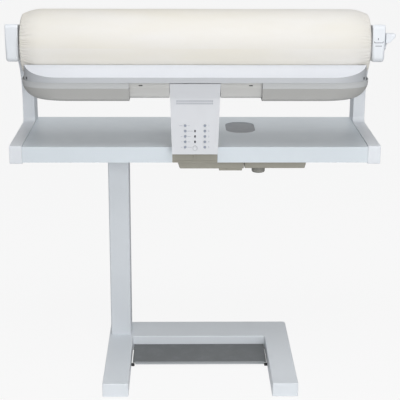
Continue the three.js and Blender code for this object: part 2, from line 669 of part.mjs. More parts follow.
const neckForm = (inset) => prism('x', neckSide(inset), -120, 120)
  .intersect(prism('y', neckFront(inset), -200, 200));

/** The two outer shells and the middle one, set back and cut out for the neck. */
function shoeShells() {
  const split = SHOE.splitX;
  const far = SHOE.shellHalf + 10;
  const outerShell = shellPiece(0, SHOE.bottomZ);
  add('shoe_cover_left', outerShell.intersect(block([-far, -100, 700], [-split, 200, 900])), FINISH.casing);
  add('shoe_cover_right', outerShell.intersect(block([split, -100, 700], [far, 200, 900])), FINISH.casing);
  const middle = shellPiece(SHOE.middleStep, SHOE.bottomZ + SHOE.middleRise)
    .intersect(block([-split + GAP, -100, 700], [split - GAP, 200, 900]));
  const hubRoom = block([PANEL.x - 57, -9, 770], [PANEL.x + 57, 60, 790]);
  const { x, z, width, height } = SCREW_SLOT;
  const slots = [-x, x].map((at) => block(
    [at - width / 2, -60, z - height / 2], [at + width / 2, -30, z + height / 2]));
  add('shoe_cover_middle', cut(middle, neckForm(-0.4), hubRoom, ...slots), FINISH.casing);
}

const HEATER = { radius: 4, angles: [62, 78], endRoom: 25 };

/** The heated plate, the tray before it and the looped heating element below it. */
function shoeInside() {
  const plate = sector(SHOE.bore, SHOE.bore + SHOE.plate, SHOE.fromAngle, SHOE.toAngle, SHOE.half);
  add('shoe_plate', plate, FINISH.shoe);
  add('feed_tray', feedTray(), FINISH.casing);
  const ringRadius = SHOE.bore + SHOE.plate + HEATER.radius + GAP;
  const halfRod = SHOE.half - HEATER.endRoom;
  const ends = HEATER.angles.map((angle) => rollerPoint(ringRadius, angle));
  const rods = ends.map((at) => bar('x', -halfRod, halfRod, at, HEATER.radius, 10));
  const [[y0, z0], [y1, z1]] = ends;
  const link = bar('y', -1, Math.hypot(y1 - y0, z1 - z0) + 1, [0, 0], HEATER.radius * 0.7, 10);
  const lean = Math.atan2(z1 - z0, y1 - y0);
  const turn = new THREE.Matrix4().makeRotationX(lean).setPosition(halfRod - HEATER.radius, y0, z0);
  add('heating_element', join(...rods, link.transform(turn.elements)), FINISH.steel);
}

// ---------------------------------------------------------------- control column
const keySpots = [];
for (const [side, dx] of [['left', -KEYS.halfSpread], ['right', KEYS.halfSpread]]) {
  for (let i = 0; i < KEYS.count; i++) {
    keySpots.push({ name: `key_${side}_${i + 1}`, x: PANEL.x + dx, z: KEYS.topZ - i * KEYS.pitch });
  }
}

const WINDOW = { half: 2.3, halfHeight: 3.3, count: 3 };
const VENT = { columns: 18, pitch: 5.5, width: 3.3, height: 4.6, firstX: -49.5, rows: [762, 768.6] };

/** Heights of the lamp windows, one beside each of the lower keys. */
const windowHeights = Array.from({ length: WINDOW.count }, (_, i) => KEYS.topZ - (i + 1) * KEYS.pitch);

/** The cover of neck and panel, open at the back and below, with its holes. */
function controlCover() {
  const inHalf = PANEL.bottomHalf - 4;
  const wallY = PANEL.frontY + SHEET;
  const behindPanel = block([PANEL.x - inHalf, wallY, 600], [PANEL.x + inHalf, PANEL.backY - SHEET, 700]);
  const overTable = block([-120, -3, 600], [120, 80, PANEL.sideBottomZ]);
  const hubRoom = block([PANEL.x - 57, -9 + SHEET, 760], [PANEL.x + 57, PANEL.backY - SHEET, 790]);
  const neckRoom = block([PANEL.x - 60, PANEL.neckY + 12, 800], [PANEL.x + 60, -8 - SHEET, 830]);
  const shell = cut(neckForm(0), neckForm(SHEET).add(behindPanel), overTable, hubRoom, neckRoom);
  const [before, behind] = [PANEL.frontY - 1, wallY + 1];
  const holes = keySpots.map(({ x, z }) => bar('y', before, behind, [x, z], KEYS.radius + GAP, 16));
  holes.push(bar('y', before, behind, [PANEL.x, POWER_BUTTON.z], POWER_BUTTON.radius + GAP, 24));
  for (const z of windowHeights) {
    holes.push(block(
      [PANEL.x - WINDOW.half, before, z - WINDOW.halfHeight],
      [PANEL.x + WINDOW.half, behind, z + WINDOW.halfHeight]));
  }
  for (let i = 0; i < VENT.columns; i++) {
    const x = PANEL.x + VENT.firstX + i * VENT.pitch;
    for (const z of VENT.rows) {
      holes.push(block([x, before, z], [x + VENT.width, behind, z + VENT.height]));
    }
  }
  return cut(shell, ...holes);
}

/** A button with a flange that keeps it behind the panel. */
function key(x, z, radius, proud, sides) {
  const back = PANEL.frontY + SHEET + GAP;
  return join(
    bar('y', PANEL.frontY - proud, back + 1.2, [x, z], radius, sides),
    bar('y', back, back + 1.2, [x, z], radius + 1, sides));
}

const GUIDE = { halfSpread: 38, y: 31, radius: 5, bottomZ: 600, clearance: 5 };
// The rods end below the heated plate when the shoe is all the way down.
const plateUnderside = ROLLER.z - Math.sqrt((SHOE.bore + SHOE.plate) ** 2 - (ROLLER.y - GUIDE.y) ** 2);
const guideTop = plateUnderside - LIFT_TRAVEL - GUIDE.clearance;
const RACK = { pitchY: 22, frontY: 12, half: 5, topZ: 737, bottomZ: 640 };
const pinionRadius = (LIFT_TEETH * LIFT_MODULE) / 2;
const LIFT_AXIS = [RACK.pitchY + pinionRadius, 676];

/** Side outline of the toothed bar; its teeth face the pinion behind it. */
function rackOutline() {
  const pitch = Math.PI * LIFT_MODULE;
  const tip = RACK.pitchY + 0.8 * LIFT_MODULE;
  const root = RACK.pitchY - 1.15 * LIFT_MODULE;
  const firstGap = LIFT_AXIS[1];
  const points = [[RACK.frontY, RACK.bottomZ]];
  const start = Math.ceil((RACK.bottomZ + 4 - firstGap) / pitch);
  const end = Math.floor((RACK.topZ - 14 - firstGap) / pitch);
  points.push([root, RACK.bottomZ]);
  for (let i = start; i <= end; i++) {
    const z = firstGap + (i + 0.5) * pitch;
    points.push([root, z - pitch * 0.34], [tip, z - pitch * 0.12]);
    points.push([tip, z + pitch * 0.12], [root, z + pitch * 0.34]);
  }
  points.push([root, RACK.topZ], [RACK.frontY, RACK.topZ]);
  return new THREE.Shape(points.map(([y, z]) => new THREE.Vector2(y, z)));
}

/** Everything that is mounted on the control column. */
function controlColumn() {
  add('control_cover', controlCover(), FINISH.casing);
  for (const { name, x, z } of keySpots) add(name, key(x, z, KEYS.radius, 0.9, 16), FINISH.keys);
  add('power_button', key(PANEL.x, POWER_BUTTON.z, POWER_BUTTON.radius, 1.1, 24), FINISH.casing);
  const lightBar = block([PANEL.x - 4, PANEL.frontY + SHEET + GAP, 650], [PANEL.x + 4, PANEL.frontY + 6, 700]);
  const [lensHalf, lensHigh] = [WINDOW.half - GAP, WINDOW.halfHeight - GAP];
  const lenses = windowHeights.map((z) => block(
    [PANEL.x - lensHalf, PANEL.frontY - GAP, z - lensHigh],
    [PANEL.x + lensHalf, PANEL.frontY + 5, z + lensHigh]));
  add('indicator_lens', join(lightBar, ...lenses), FINISH.rubber);
  const board = { half: 52, lowZ: 634, highZ: 756, frontY: PANEL.frontY + 8.2, thickness: 1.6 };
  add('control_board', block(
    [PANEL.x - board.half, board.frontY, board.lowZ],
    [PANEL.x + board.half, board.frontY + board.thickness, board.highZ]), FINISH.board);
}

/** The steel channel under the heated plate, with its posts and the hub on the guide rods. */
function shoeCarriage(rods) {
  const reach = SHOE.half - 30;
  const [low, high, wall] = [784, 797, 3];
  const channel = block([-reach, 12, low], [reach, 84, high])
    .subtract(block([-reach - 1, 12 + wall, low + wall], [reach + 1, 84 - wall, high + 1]));
  const posts = [-380, -130, 130, 380].map((x) => block([x - 12, 58, low + 2], [x + 12, 74, 807.6]));
  const hub = block([PANEL.x - 54, 0, 740], [PANEL.x + 54, 56, high + 1]);
  const pocket = block([PANEL.x - 26, 6, 739], [PANEL.x + 26, 50, 790]);
  const bores = rods.map((at) => bar('z', 700, 830, at, GUIDE.radius + GAP, 20));
  return cut(join(channel, hub, ...posts), pocket, ...bores);
}

/** The fixed sleeve round the drive, with the front plate and its small pointer. */
function liftSleeve() {
  const corners = rectangle(PANEL.x - 56, 4, PANEL.x + 56, 60, 4);
  const sleeve = prism('z', outline(corners, 0, 45), GUIDE.bottomZ + GAP, 712)
    .subtract(prism('z', outline(corners, 2, 45), 590, 720));
  const plateHalf = NOTCH.half - 0.4;
  const plate = block(
    [PANEL.x - plateHalf, 0.4, TABLE.topZ - TABLE.height], [PANEL.x + plateHalf, 2.6, TABLE.topZ - 2]);
  const bridge = block([PANEL.x - 40, 2, 612], [PANEL.x + 40, 5, 630]);
  const pointer = [[-6, 622], [-6, 620], [0, 600], [6, 620], [6, 622]]
    .map(([x, z]) => new THREE.Vector2(x + PANEL.x, z));
  return sleeve.add(join(plate, bridge, prism('y', new THREE.Shape(pointer), -2, 1)));
}

/** Rack, pinion, motor and guide rods that move the shoe up and down. */
function lift() {
  const rods = [-1, 1].map((side) => [PANEL.x + side * GUIDE.halfSpread, GUIDE.y]);
  add('shoe_carriage', shoeCarriage(rods), FINISH.steel);
  rods.forEach((at, i) => {
    const rod = bar('z', GUIDE.bottomZ + GAP, guideTop, at, GUIDE.radius, 20);
    add(`guide_rod_${i ? 'right' : 'left'}`, rod, FINISH.steel);
  });
  const hubCeiling = 739.7;
  const rackHead = block([PANEL.x - RACK.half, 8, 728], [PANEL.x + RACK.half, 16, hubCeiling]);
  const rack = prism('x', rackOutline(), PANEL.x - RACK.half, PANEL.x + RACK.half);
  add('lift_rack', rack.add(rackHead), FINISH.brass);
  const gear = prism('x', new THREE.Shape(gearOutline(LIFT_TEETH, LIFT_MODULE, { phase: Math.PI })), -4, 4);
  const shaft = bar('x', 3, 11, [0, 0], 3, 12);
  add('lift_pinion', gear.add(shaft).translate([PANEL.x, ...LIFT_AXIS]), FINISH.brass);
  const [motorY, motorZ] = LIFT_AXIS;
  add('lift_motor', join(
    bar('x', PANEL.x + 11 + GAP, PANEL.x + 30, LIFT_AXIS, 15, 24),
    block([PANEL.x + 12, motorY - 8, GUIDE.bottomZ + GAP], [PANEL.x + 28, motorY + 8, motorZ - 6]),
  ), FINISH.dark);
  add('lift_sleeve', liftSleeve(), FINISH.beige);
  const seatHalf = 60;
  const seatBack = BEAM.frontY - GAP;
  add('lift_seat', join(
    block([PANEL.x - seatHalf, 3, GUIDE.bottomZ - 6], [PANEL.x + seatHalf, seatBack, GUIDE.bottomZ]),
    block([PANEL.x - seatHalf, BEAM.frontY - 4, GUIDE.bottomZ - 1], [PANEL.x + seatHalf, seatBack, 628]),
  ), FINISH.steel);
}

// ---------------------------------------------------------------- boxes below the table
const BOX = { leftX: -50, rightX: 135, frontY: 24, floorZ: 568, wall: 2, slant: 7 };
const TANK = { leftX: 136, rightX: 309, backY: 330, floorZ: 569, wingX: 112, wingFloorZ: 590, slant: 6 };
const GLAND = { x: 40, z: 580, outer: 8, inner: 4.5, length: 12 };
const KNOB = { x: 177, y: 60, radius: 19, bottomZ: 550 };

/** An open tray hung below the table; `slants` lean its left and right walls inwards. */
function hungTray(leftX, rightX, frontY, backY, floorZ, slants) {
  const lid = TABLE.topZ - TABLE.height - GAP;
  const [leftSlant, rightSlant] = slants;
  const form = (inset, top) => new THREE.Shape([
    [leftX + leftSlant + inset, floorZ + inset], [rightX - rightSlant - inset, floorZ + inset],
    [rightX - inset, top], [leftX + inset, top],
  ].map(([x, z]) => new THREE.Vector2(x, z)));
  return prism('y', form(0, lid), frontY, backY)
    .subtract(prism('y', form(BOX.wall, lid + 5), frontY + BOX.wall, backY - BOX.wall));
}

/** The electronics box with its cable gland, the water tank and the drain knob. */
function underTable() {
  const boxBack = COLUMN.frontY + COLUMN.depth;
  const bump = block([66, BOX.frontY + 2, BOX.floorZ - 6], [130, 60, BOX.floorZ + 0.5]);
  const glandAt = [GLAND.x, GLAND.z];
  const gland = ring('y', boxBack - 1, boxBack + GLAND.length, glandAt, GLAND.outer, GLAND.inner, 16);
  const glandHole = bar('y', boxBack - 6, boxBack + GLAND.length + 1, glandAt, GLAND.inner, 16);
  const box = hungTray(BOX.leftX, BOX.rightX, BOX.frontY, boxBack, BOX.floorZ, [BOX.slant, 0]);
  add('electronics_box', cut(join(box, bump, gland), glandHole), FINISH.beige);

  const wing = block([TANK.wingX, BEAM.backY + 3, TANK.wingFloorZ], [TANK.rightX, TANK.backY, TANK_TOP])
    .subtract(block(
      [TANK.wingX + BOX.wall, BEAM.backY + 3 + BOX.wall, TANK.wingFloorZ - 10],
      [TANK.rightX - BOX.wall, TANK.backY - BOX.wall, TANK_TOP - BOX.wall]));
  const tank = hungTray(TANK.leftX, TANK.rightX, BOX.frontY, TANK.backY, TANK.floorZ, [0, TANK.slant]);
  add('water_tank', tank.add(wing), FINISH.beige);

  const knobAt = [KNOB.x, KNOB.y];
  add('drain_knob', join(
    bar('z', KNOB.bottomZ + 1, TANK.floorZ - GAP, knobAt, KNOB.radius, 28),
    bar('z', KNOB.bottomZ, KNOB.bottomZ + 2, knobAt, KNOB.radius - 2.5, 28)), FINISH.keys);
}

// ---------------------------------------------------------------- assembly
foot();
treadle();
columnAndBeam();
table();
arms();
add('release_lever', releaseLever(), FINISH.casing);
rollerParts();
rollerDrive();
shoeInside();
shoeShells();
controlColumn();
lift();
underTable();

const ORIGIN = { x: LEVER_REACH / 2, y: (TABLE.depth + BASE.frontY) / 2 };
group.position.set(-ORIGIN.x, -ORIGIN.y, 0);

export default group;
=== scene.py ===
"""Looks of a household flatwork ironer with one column and a U-shaped foot.

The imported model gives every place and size. Each sub-assembly of the machine is
a class that shapes its own pieces with bmesh operators and dresses them in its
own finishes. All lengths are metres: +X runs along the roller to the user's
right, +Y points away from the user and +Z is up.
"""

import logging
import math
from dataclasses import dataclass, field
from enum import Enum
from typing import Callable, Iterable, Sequence

import bmesh
import bpy
from mathutils import Matrix, Vector, noise

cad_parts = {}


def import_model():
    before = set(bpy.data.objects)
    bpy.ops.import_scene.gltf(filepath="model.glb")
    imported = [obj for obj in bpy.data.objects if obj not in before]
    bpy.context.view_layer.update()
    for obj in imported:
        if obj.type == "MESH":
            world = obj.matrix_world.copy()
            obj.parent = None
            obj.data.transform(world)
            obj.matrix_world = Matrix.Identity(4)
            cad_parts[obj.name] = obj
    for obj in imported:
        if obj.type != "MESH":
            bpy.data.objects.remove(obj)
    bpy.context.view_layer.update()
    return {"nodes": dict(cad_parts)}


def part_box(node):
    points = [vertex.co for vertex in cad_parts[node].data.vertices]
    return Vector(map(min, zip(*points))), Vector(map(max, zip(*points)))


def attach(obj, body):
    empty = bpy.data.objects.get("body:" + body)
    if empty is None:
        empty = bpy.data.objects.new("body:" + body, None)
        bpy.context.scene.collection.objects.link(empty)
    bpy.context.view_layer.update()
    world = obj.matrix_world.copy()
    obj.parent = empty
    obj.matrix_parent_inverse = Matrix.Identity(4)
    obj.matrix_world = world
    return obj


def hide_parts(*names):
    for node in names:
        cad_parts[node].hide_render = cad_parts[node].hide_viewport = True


LOG = logging.getLogger("ironer")
PHOTO_SIDE = 400
SENSOR = 36.0
MM = 0.001
PAST = 0.01  # how far a cutting body runs beyond the piece, in metres
FLUSH = 1e-5  # spots that are nearer than this lie in one plane
SAME = 1e-7  # depths that differ by less are one depth

Point = tuple[float, float]
Level = tuple[float, float]
Body = bmesh.types.BMesh
Edge = bmesh.types.BMEdge
Face = bmesh.types.BMFace
Piece = bpy.types.Object
Socket = bpy.types.NodeSocket


class Axis(Enum):
    """A direction that an outline is pushed along, and the plane it lies in."""

    X = (1, 2, 0)
    Y = (0, 2, 1)
    Z = (0, 1, 2)

    def point(self, u: float, v: float, along: float) -> Vector:
        """Place an outline's point in space.

        Args:
            u: First coordinate in the outline's plane.
            v: Second coordinate in the outline's plane.
            along: Distance along the axis.

        Returns:
            The point in the machine's frame.
        """
        spot = Vector((0.0, 0.0, 0.0))
        spot[self.value[0]] = u
        spot[self.value[1]] = v
        spot[self.value[2]] = along
        return spot

    def depth(self, spot: Vector) -> float:
        """Return a point's distance along the axis."""
        return spot[self.value[2]]

    @property
    def vector(self) -> Vector:
        """The axis as a unit vector."""
        return self.point(0.0, 0.0, 1.0)


@dataclass(frozen=True)
class Corner:
    """One corner of an outline, with the radius that it is rounded to."""

    u: float
    v: float
    radius: float = 0.0


@dataclass(frozen=True)
class Box:
    """A CAD node's box at rest."""

    low: Vector
    high: Vector

    @classmethod
    def of(cls, node: str) -> "Box":
        """Read a node's box from the frame."""
        low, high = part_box(node)
        return cls(low, high)

    @property
    def middle(self) -> Vector:
        """The box's centre."""
        return (self.low + self.high) / 2

    @property
    def size(self) -> Vector:
        """The box's three sides."""
        return self.high - self.low


# ------------------------------------------------------------------ materials
class Graph:
    """A material's node tree with its Principled shader."""

    def __init__(self, name: str) -> None:
        """Start a material.

        Args:
            name: The material's name.
        """
        self.material = bpy.data.materials.new(name)
        self.material.use_nodes = True
        self.tree = self.material.node_tree
        self.shader = self.tree.nodes["Principled BSDF"]

    def node(self, kind: str, **values: object) -> bpy.types.Node:
        """Add a node and set its properties and unlinked sockets.

        Args:
            kind: The node's type name without its prefix.
            **values: Property names, or socket names with underscores.

        Returns:
            The new node.
        """
        made = self.tree.nodes.new("ShaderNode" + kind)
        for name, value in values.items():
            if hasattr(made, name):
                setattr(made, name, value)
            else:
                made.inputs[name.replace("_", " ")].default_value = value
        return made

    def link(self, source: Socket, target: Socket) -> None:
        """Join two sockets."""
        self.tree.links.new(source, target)

    def place(self, scale: Sequence[float] = (1.0, 1.0, 1.0)) -> Socket:
        """Object coordinates, stretched by a scale.

        Args:
            scale: Factor along each axis.

        Returns:
            The vector socket.
        """
        spot = self.node("TexCoord")
        mapping = self.node("Mapping", Scale=scale)
        self.link(spot.outputs["Object"], mapping.inputs["Vector"])
        return mapping.outputs["Vector"]

    def grain(self, vector: Socket, scale: float, detail: float = 2.0) -> Socket:
        """Noise of one scale.

        Args:
            vector: The coordinates to read.
            scale: Cells per metre.
            detail: Octaves of detail.

        Returns:
            The noise value's socket.
        """
        made = self.node("TexNoise", Scale=scale, Detail=detail)
        self.link(vector, made.inputs["Vector"])
        return made.outputs["Fac"]

    def spread(self, value: Socket, low: float, high: float,
               source: Point = (0.3, 0.7)) -> Socket:
        """Map a value onto a range.

        Args:
            value: The socket to read.
            low: Result at the source's first value.
            high: Result at the source's second value.
            source: The two source values.

        Returns:
            The mapped value's socket.
        """
        made = self.node("MapRange")
        for index, number in enumerate((*source, low, high), start=1):
            made.inputs[index].default_value = number
        self.link(value, made.inputs[0])
        return made.outputs[0]

    def mix(self, amount: Socket, first: Sequence[float],
            second: Sequence[float]) -> Socket:
        """Blend two colours by a share.

        Args:
            amount: Socket that holds the second colour's share.
            first: Colour at 0.
            second: Colour at 1.

        Returns:
            The colour's socket.
        """
        made = self.node("Mix", data_type="RGBA")
        self.link(amount, made.inputs[0])
        made.inputs[6].default_value = (*first, 1.0)
        made.inputs[7].default_value = (*second, 1.0)
        return made.outputs[2]

    def bump(self, height: Socket, distance: float, strength: float = 1.0,
             under: Socket | None = None) -> Socket:
        """Turn a height into a normal, on top of another.

        Args:
            height: The height's socket.
            distance: Height of a full step, in metres.
            strength: Share of the effect.
            under: The normal that lies below.

        Returns:
            The normal's socket.
        """
        made = self.node("Bump", Strength=strength, Distance=distance)
        self.link(height, made.inputs["Height"])
        if under is not None:
            self.link(under, made.inputs["Normal"])
        return made.outputs["Normal"]

    def surface(self, colour: Socket | None = None,
                roughness: Socket | None = None,
                normal: Socket | None = None) -> bpy.types.Material:
        """Wire the shader and hand the material over.

        Args:
            colour: Base colour's socket.
            roughness: Roughness socket.
            normal: Normal's socket.

        Returns:
            The finished material.
        """
        for name, socket in (("Base Color", colour), ("Roughness", roughness), ("Normal", normal)):
            if socket is not None:
                self.link(socket, self.shader.inputs[name])
        return self.material


def srgb(red: int, green: int, blue: int) -> tuple[float, float, float]:
    """Turn a screen colour into the linear one that a shader takes.

    Args:
        red: Red from 0 to 255.
        green: Green from 0 to 255.
        blue: Blue from 0 to 255.

    Returns:
        The linear colour.
    """
    def linear(value: float) -> float:
        """Linear share of one channel."""
        return value / 12.92 if value <= 0.04045 else ((value + 0.055) / 1.055) ** 2.4

    return linear(red / 255), linear(green / 255), linear(blue / 255)


def shade(colour: Sequence[float], factor: float) -> tuple[float, float, float]:
    """Return a colour made lighter or darker by a factor."""
    return tuple(min(1.0, channel * factor) for channel in colour)


@dataclass(frozen=True)
class Finish:
    """A surface finish, made into a material once."""

    name: str
    colour: tuple[float, float, float]

    def material(self) -> bpy.types.Material:
        """Return the finish's material, made on first use."""
        return bpy.data.materials.get(self.name) or self.make(Graph(self.name))

    def make(self, graph: Graph) -> bpy.types.Material:
        """Wire the nodes; each kind of finish does this its own way."""
        raise NotImplementedError


@dataclass(frozen=True)
class PowderCoat(Finish):
    """Satin powder coat: a fine orange peel and faint cloudiness."""

    roughness: float = 0.42
    peel: float = 900.0
    depth: float = 0.00003

    def make(self, graph: Graph) -> bpy.types.Material:
        """Wire the powder coat."""
        spot = graph.place()
        cloud = graph.spread(graph.grain(spot, 5.0, 3.0), 0.0, 1.0)
        speck = graph.grain(spot, self.peel, 2.0)
        rub = graph.spread(graph.grain(graph.place((1.0, 1.0, 0.3)), 40.0, 5.0), -0.04, 0.05)
        rough = graph.node("Math", operation="ADD")
        rough.inputs[1].default_value = self.roughness
        graph.link(rub, rough.inputs[0])
        graph.shader.inputs["Coat Weight"].default_value = 0.12
        graph.shader.inputs["Coat Roughness"].default_value = 0.3
        return graph.surface(
            graph.mix(cloud, shade(self.colour, 0.97), shade(self.colour, 1.02)),
            rough.outputs[0], graph.bump(speck, self.depth, 0.5))


@dataclass(frozen=True)
class Moulded(Finish):
    """Moulded plastic: a spark-eroded grain over a slow flow pattern."""

    roughness: float = 0.45
    grain: float = 1500.0
    depth: float = 0.00003

    def make(self, graph: Graph) -> bpy.types.Material:
        """Wire the plastic."""
        spot = graph.place()
        flow = graph.spread(graph.grain(spot, 9.0, 4.0), 0.0, 1.0)
        speck = graph.node("TexVoronoi", Scale=self.grain)
        graph.link(spot, speck.inputs["Vector"])
        gloss = graph.spread(graph.grain(spot, 60.0, 4.0), self.roughness - 0.04, self.roughness + 0.05)
        graph.shader.inputs["Specular IOR Level"].default_value = 0.42
        return graph.surface(
            graph.mix(flow, shade(self.colour, 0.975), shade(self.colour, 1.02)), gloss,
            graph.bump(speck.outputs["Distance"], self.depth, 0.4))


@dataclass(frozen=True)
class Drawn(Finish):
    """Bare metal, with marks drawn along one axis."""

    roughness: float = 0.3
    along: Axis = Axis.X

    def make(self, graph: Graph) -> bpy.types.Material:
        """Wire the metal."""
        stretch = Axis.point(self.along, 60.0, 60.0, 1.5)
        marks = graph.grain(graph.place(tuple(stretch)), 30.0, 6.0)
        stain = graph.spread(graph.grain(graph.place(), 14.0, 4.0), 0.0, 1.0)
        rough = graph.spread(marks, self.roughness - 0.07, self.roughness + 0.12)
        graph.shader.inputs["Metallic"].default_value = 1.0
        return graph.surface(
            graph.mix(stain, shade(self.colour, 0.9), shade(self.colour, 1.05)), rough,
            graph.bump(marks, 0.00002, 0.4))


@dataclass(frozen=True)
class Rubber(Finish):
    """Dark rubber or mat paint with a dusty bloom."""

    roughness: float = 0.75
    bloom: float = 1.5

    def make(self, graph: Graph) -> bpy.types.Material:
        """Wire the rubber."""
        spot = graph.place()
        dust = graph.spread(graph.grain(spot, 35.0, 6.0), 0.0, 1.0, (0.45, 0.75))
        pore = graph.grain(spot, 2200.0, 3.0)
        rough = graph.spread(pore, self.roughness - 0.08, self.roughness + 0.1)
        return graph.surface(
            graph.mix(dust, self.colour, shade(self.colour, self.bloom)), rough,
            graph.bump(pore, 0.00004, 0.6))


@dataclass(frozen=True)
class Cotton(Finish):
    """Plain woven cotton; its threads follow the piece's own UV map, in metres."""

    warm: tuple[float, float, float] = (0.8, 0.78, 0.7)
    thread: float = 0.0007

    def make(self, graph: Graph) -> bpy.types.Material:
        """Wire the weave."""
        spot = graph.node("UVMap", uv_map="cloth").outputs["UV"]
        heights = []
        for direction in ("X", "Y"):
            wave = graph.node(
                "TexWave", wave_type="BANDS", bands_direction=direction, wave_profile="SIN",
                Scale=math.tau / 20 / self.thread, Distortion=0.4, Detail=1.0)
            graph.link(spot, wave.inputs["Vector"])
            heights.append(wave.outputs["Fac"])
        weave = graph.node("Math", operation="MULTIPLY")
        graph.link(heights[0], weave.inputs[0])
        graph.link(heights[1], weave.inputs[1])
        streak = graph.node("Mapping", Scale=(1.0, 0.25, 1.0))
        graph.link(spot, streak.inputs["Vector"])
        tint = graph.spread(graph.grain(streak.outputs["Vector"], 9.0, 4.0), 0.0, 1.0)
        slub = graph.spread(graph.grain(spot, 320.0, 3.0), 0.0, 1.0)
        tone = graph.node("Math", operation="MULTIPLY_ADD")
        tone.inputs[1].default_value = 0.12
        graph.link(slub, tone.inputs[0])
        graph.link(tint, tone.inputs[2])
        soft = graph.bump(graph.grain(spot, 30.0, 3.0), 0.0006, 0.35)
        graph.shader.inputs["Roughness"].default_value = 0.92
        graph.shader.inputs["Specular IOR Level"].default_value = 0.2
        graph.shader.inputs["Sheen Weight"].default_value = 0.25
        graph.shader.inputs["Sheen Roughness"].default_value = 0.5
        return graph.surface(
            graph.mix(tone.outputs[0], self.colour, self.warm),
            normal=graph.bump(weave.outputs[0], 0.00012, 0.5, soft))


@dataclass(frozen=True)
class Felt(Finish):
    """Needled felt, fibres in every direction."""

    def make(self, graph: Graph) -> bpy.types.Material:
        """Wire the felt."""
        spot = graph.place()
        fibre = graph.grain(graph.place((1.0, 6.0, 1.0)), 700.0, 6.0)
        patch = graph.spread(graph.grain(spot, 40.0, 5.0), 0.0, 1.0)
        graph.shader.inputs["Roughness"].default_value = 0.97
        return graph.surface(
            graph.mix(patch, shade(self.colour, 0.88), shade(self.colour, 1.08)),
            normal=graph.bump(fibre, 0.0004, 0.8))


class Finishes:
    """Every finish on the machine."""

    FRAME = PowderCoat("frame_coat", srgb(212, 217, 222))
    # Painted light: a lighter copy of the frame coat, so the foot reads brighter than the column of the
    # same paint.
    FOOT_PAINTED_LIGHT = PowderCoat("foot_painted_light_coat", srgb(228, 233, 238), roughness=0.4)
    TABLE = PowderCoat("table_coat", srgb(213, 221, 227), roughness=0.4)
    TRAY = PowderCoat("tray_coat", srgb(218, 221, 227), roughness=0.36, depth=0.00001)
    # Painted shade: a darker copy of the tray coat for the tray's faces that do not face up.
    TRAY_LIP_PAINTED_SHADE = PowderCoat("tray_lip_painted_shade_coat", srgb(183, 186, 190))
    SHELL = PowderCoat("shell_coat", srgb(190, 192, 193), roughness=0.5)
    # Painted shade: a darker copy of the shell coat for the shells' lower part, which curves back under.
    SHELL_PAINTED_SHADE = PowderCoat("shell_painted_shade_coat", srgb(173, 173, 171), roughness=0.55)
    MIDDLE = PowderCoat("middle_coat", srgb(198, 198, 196), roughness=0.52)
    CAP = Moulded("arm_plastic", srgb(227, 231, 236), roughness=0.35)
    PANEL = Moulded("panel_plastic", srgb(215, 217, 221), roughness=0.5)
    BEIGE = Moulded("beige_moulding", srgb(158, 155, 144), roughness=0.55)
    KEY = Moulded("key_moulding", srgb(150, 158, 172), roughness=0.3)
    KNOB = Moulded("knob_moulding", srgb(139, 138, 132), roughness=0.5)
    CUP = Moulded("cup_moulding", srgb(131, 135, 140), roughness=0.45)
    VENT = Moulded("vent_shadow", srgb(166, 170, 178), roughness=0.6)
    LENS = Moulded("lens_plastic", srgb(66, 69, 78), roughness=0.12, depth=0.0)
    PRINT = Moulded("print_ink", srgb(146, 152, 166), roughness=0.6, depth=0.0)
    SIGN = Moulded("sign_ink", srgb(104, 106, 118), roughness=0.6, depth=0.0)
    FINE_PRINT = Moulded("fine_print_ink", srgb(158, 162, 174), roughness=0.6, depth=0.0)
    BOARD = Moulded("board_lacquer", srgb(38, 92, 58), roughness=0.35)
    STEEL = Drawn("drawn_steel", srgb(176, 178, 180), roughness=0.32)
    SHOE = Drawn("shoe_polish", srgb(205, 207, 210), roughness=0.2)
    ALUMINIUM = Drawn("drawn_aluminium", srgb(190, 192, 195), roughness=0.36)
    BRASS = Drawn("cut_brass", srgb(190, 160, 92), roughness=0.3)
    RUBBER = Rubber("moulded_rubber", srgb(44, 44, 46))
    MOTOR = Rubber("motor_coat", srgb(60, 62, 66), roughness=0.5)
    TREAD = Rubber("tread_rubber", srgb(118, 121, 123), roughness=0.6, bloom=1.15)
    TREAD_LIP = PowderCoat("tread_lip_coat", srgb(168, 172, 175))
    COTTON = Cotton("roller_cotton", srgb(231, 229, 226), warm=srgb(227, 223, 213))
    FELT = Felt("roller_felt", srgb(205, 196, 172))


# -------------------------------------------------------------------- shaping
def outline_face(shape: Body, corners: Sequence[Corner], axis: Axis, at: float,
                 step: float = 8.0) -> None:
    """Lay a face with rounded corners in a plane.

    Args:
        shape: The mesh to add to.
        corners: The outline's corners in order.
        axis: The plane's normal.
        at: The plane's place along the axis.
        step: Degrees that one side of a rounded corner turns.
    """
    verts = [shape.verts.new(axis.point(corner.u, corner.v, at)) for corner in corners]
    shape.faces.new(verts)
    count = len(corners)
    for index, corner in enumerate(corners):
        if corner.radius <= 0:
            continue
        here = Vector((corner.u, corner.v))
        before = Vector((corners[index - 1].u, corners[index - 1].v))
        after = Vector((corners[(index + 1) % count].u, corners[(index + 1) % count].v))
        turn = (here - before).angle(after - here)
        bmesh.ops.bevel(
            shape, geom=[verts[index]], offset=corner.radius * math.tan(turn / 2),
            offset_type="OFFSET", segments=max(2, round(math.degrees(turn) / step)),
            profile=0.5, affect="VERTICES", material=-1, clamp_overlap=False)


def polygon_area(spots: Sequence[Vector]) -> float:
    """Return a flat outline's area, positive if it runs counter-clockwise."""
    return sum(a.cross(b) for a, b in zip(spots, [*spots[1:], spots[0]])) / 2


def share(value: float) -> float:
    """Return a number kept between 0 and 1."""
    return max(0.0, min(1.0, value))


def new_verts(result: dict) -> list[bmesh.types.BMVert]:
    """Return the vertices that an operator made."""
    return [item for item in result["geom"] if isinstance(item, bmesh.types.BMVert)]


def push(shape: Body, face: Face) -> Face:
    """Extrude one face in place and return the new one."""
    pushed = bmesh.ops.extrude_face_region(shape, geom=[face, *face.edges, *face.verts])
    return next(item for item in pushed["geom"] if isinstance(item, Face))


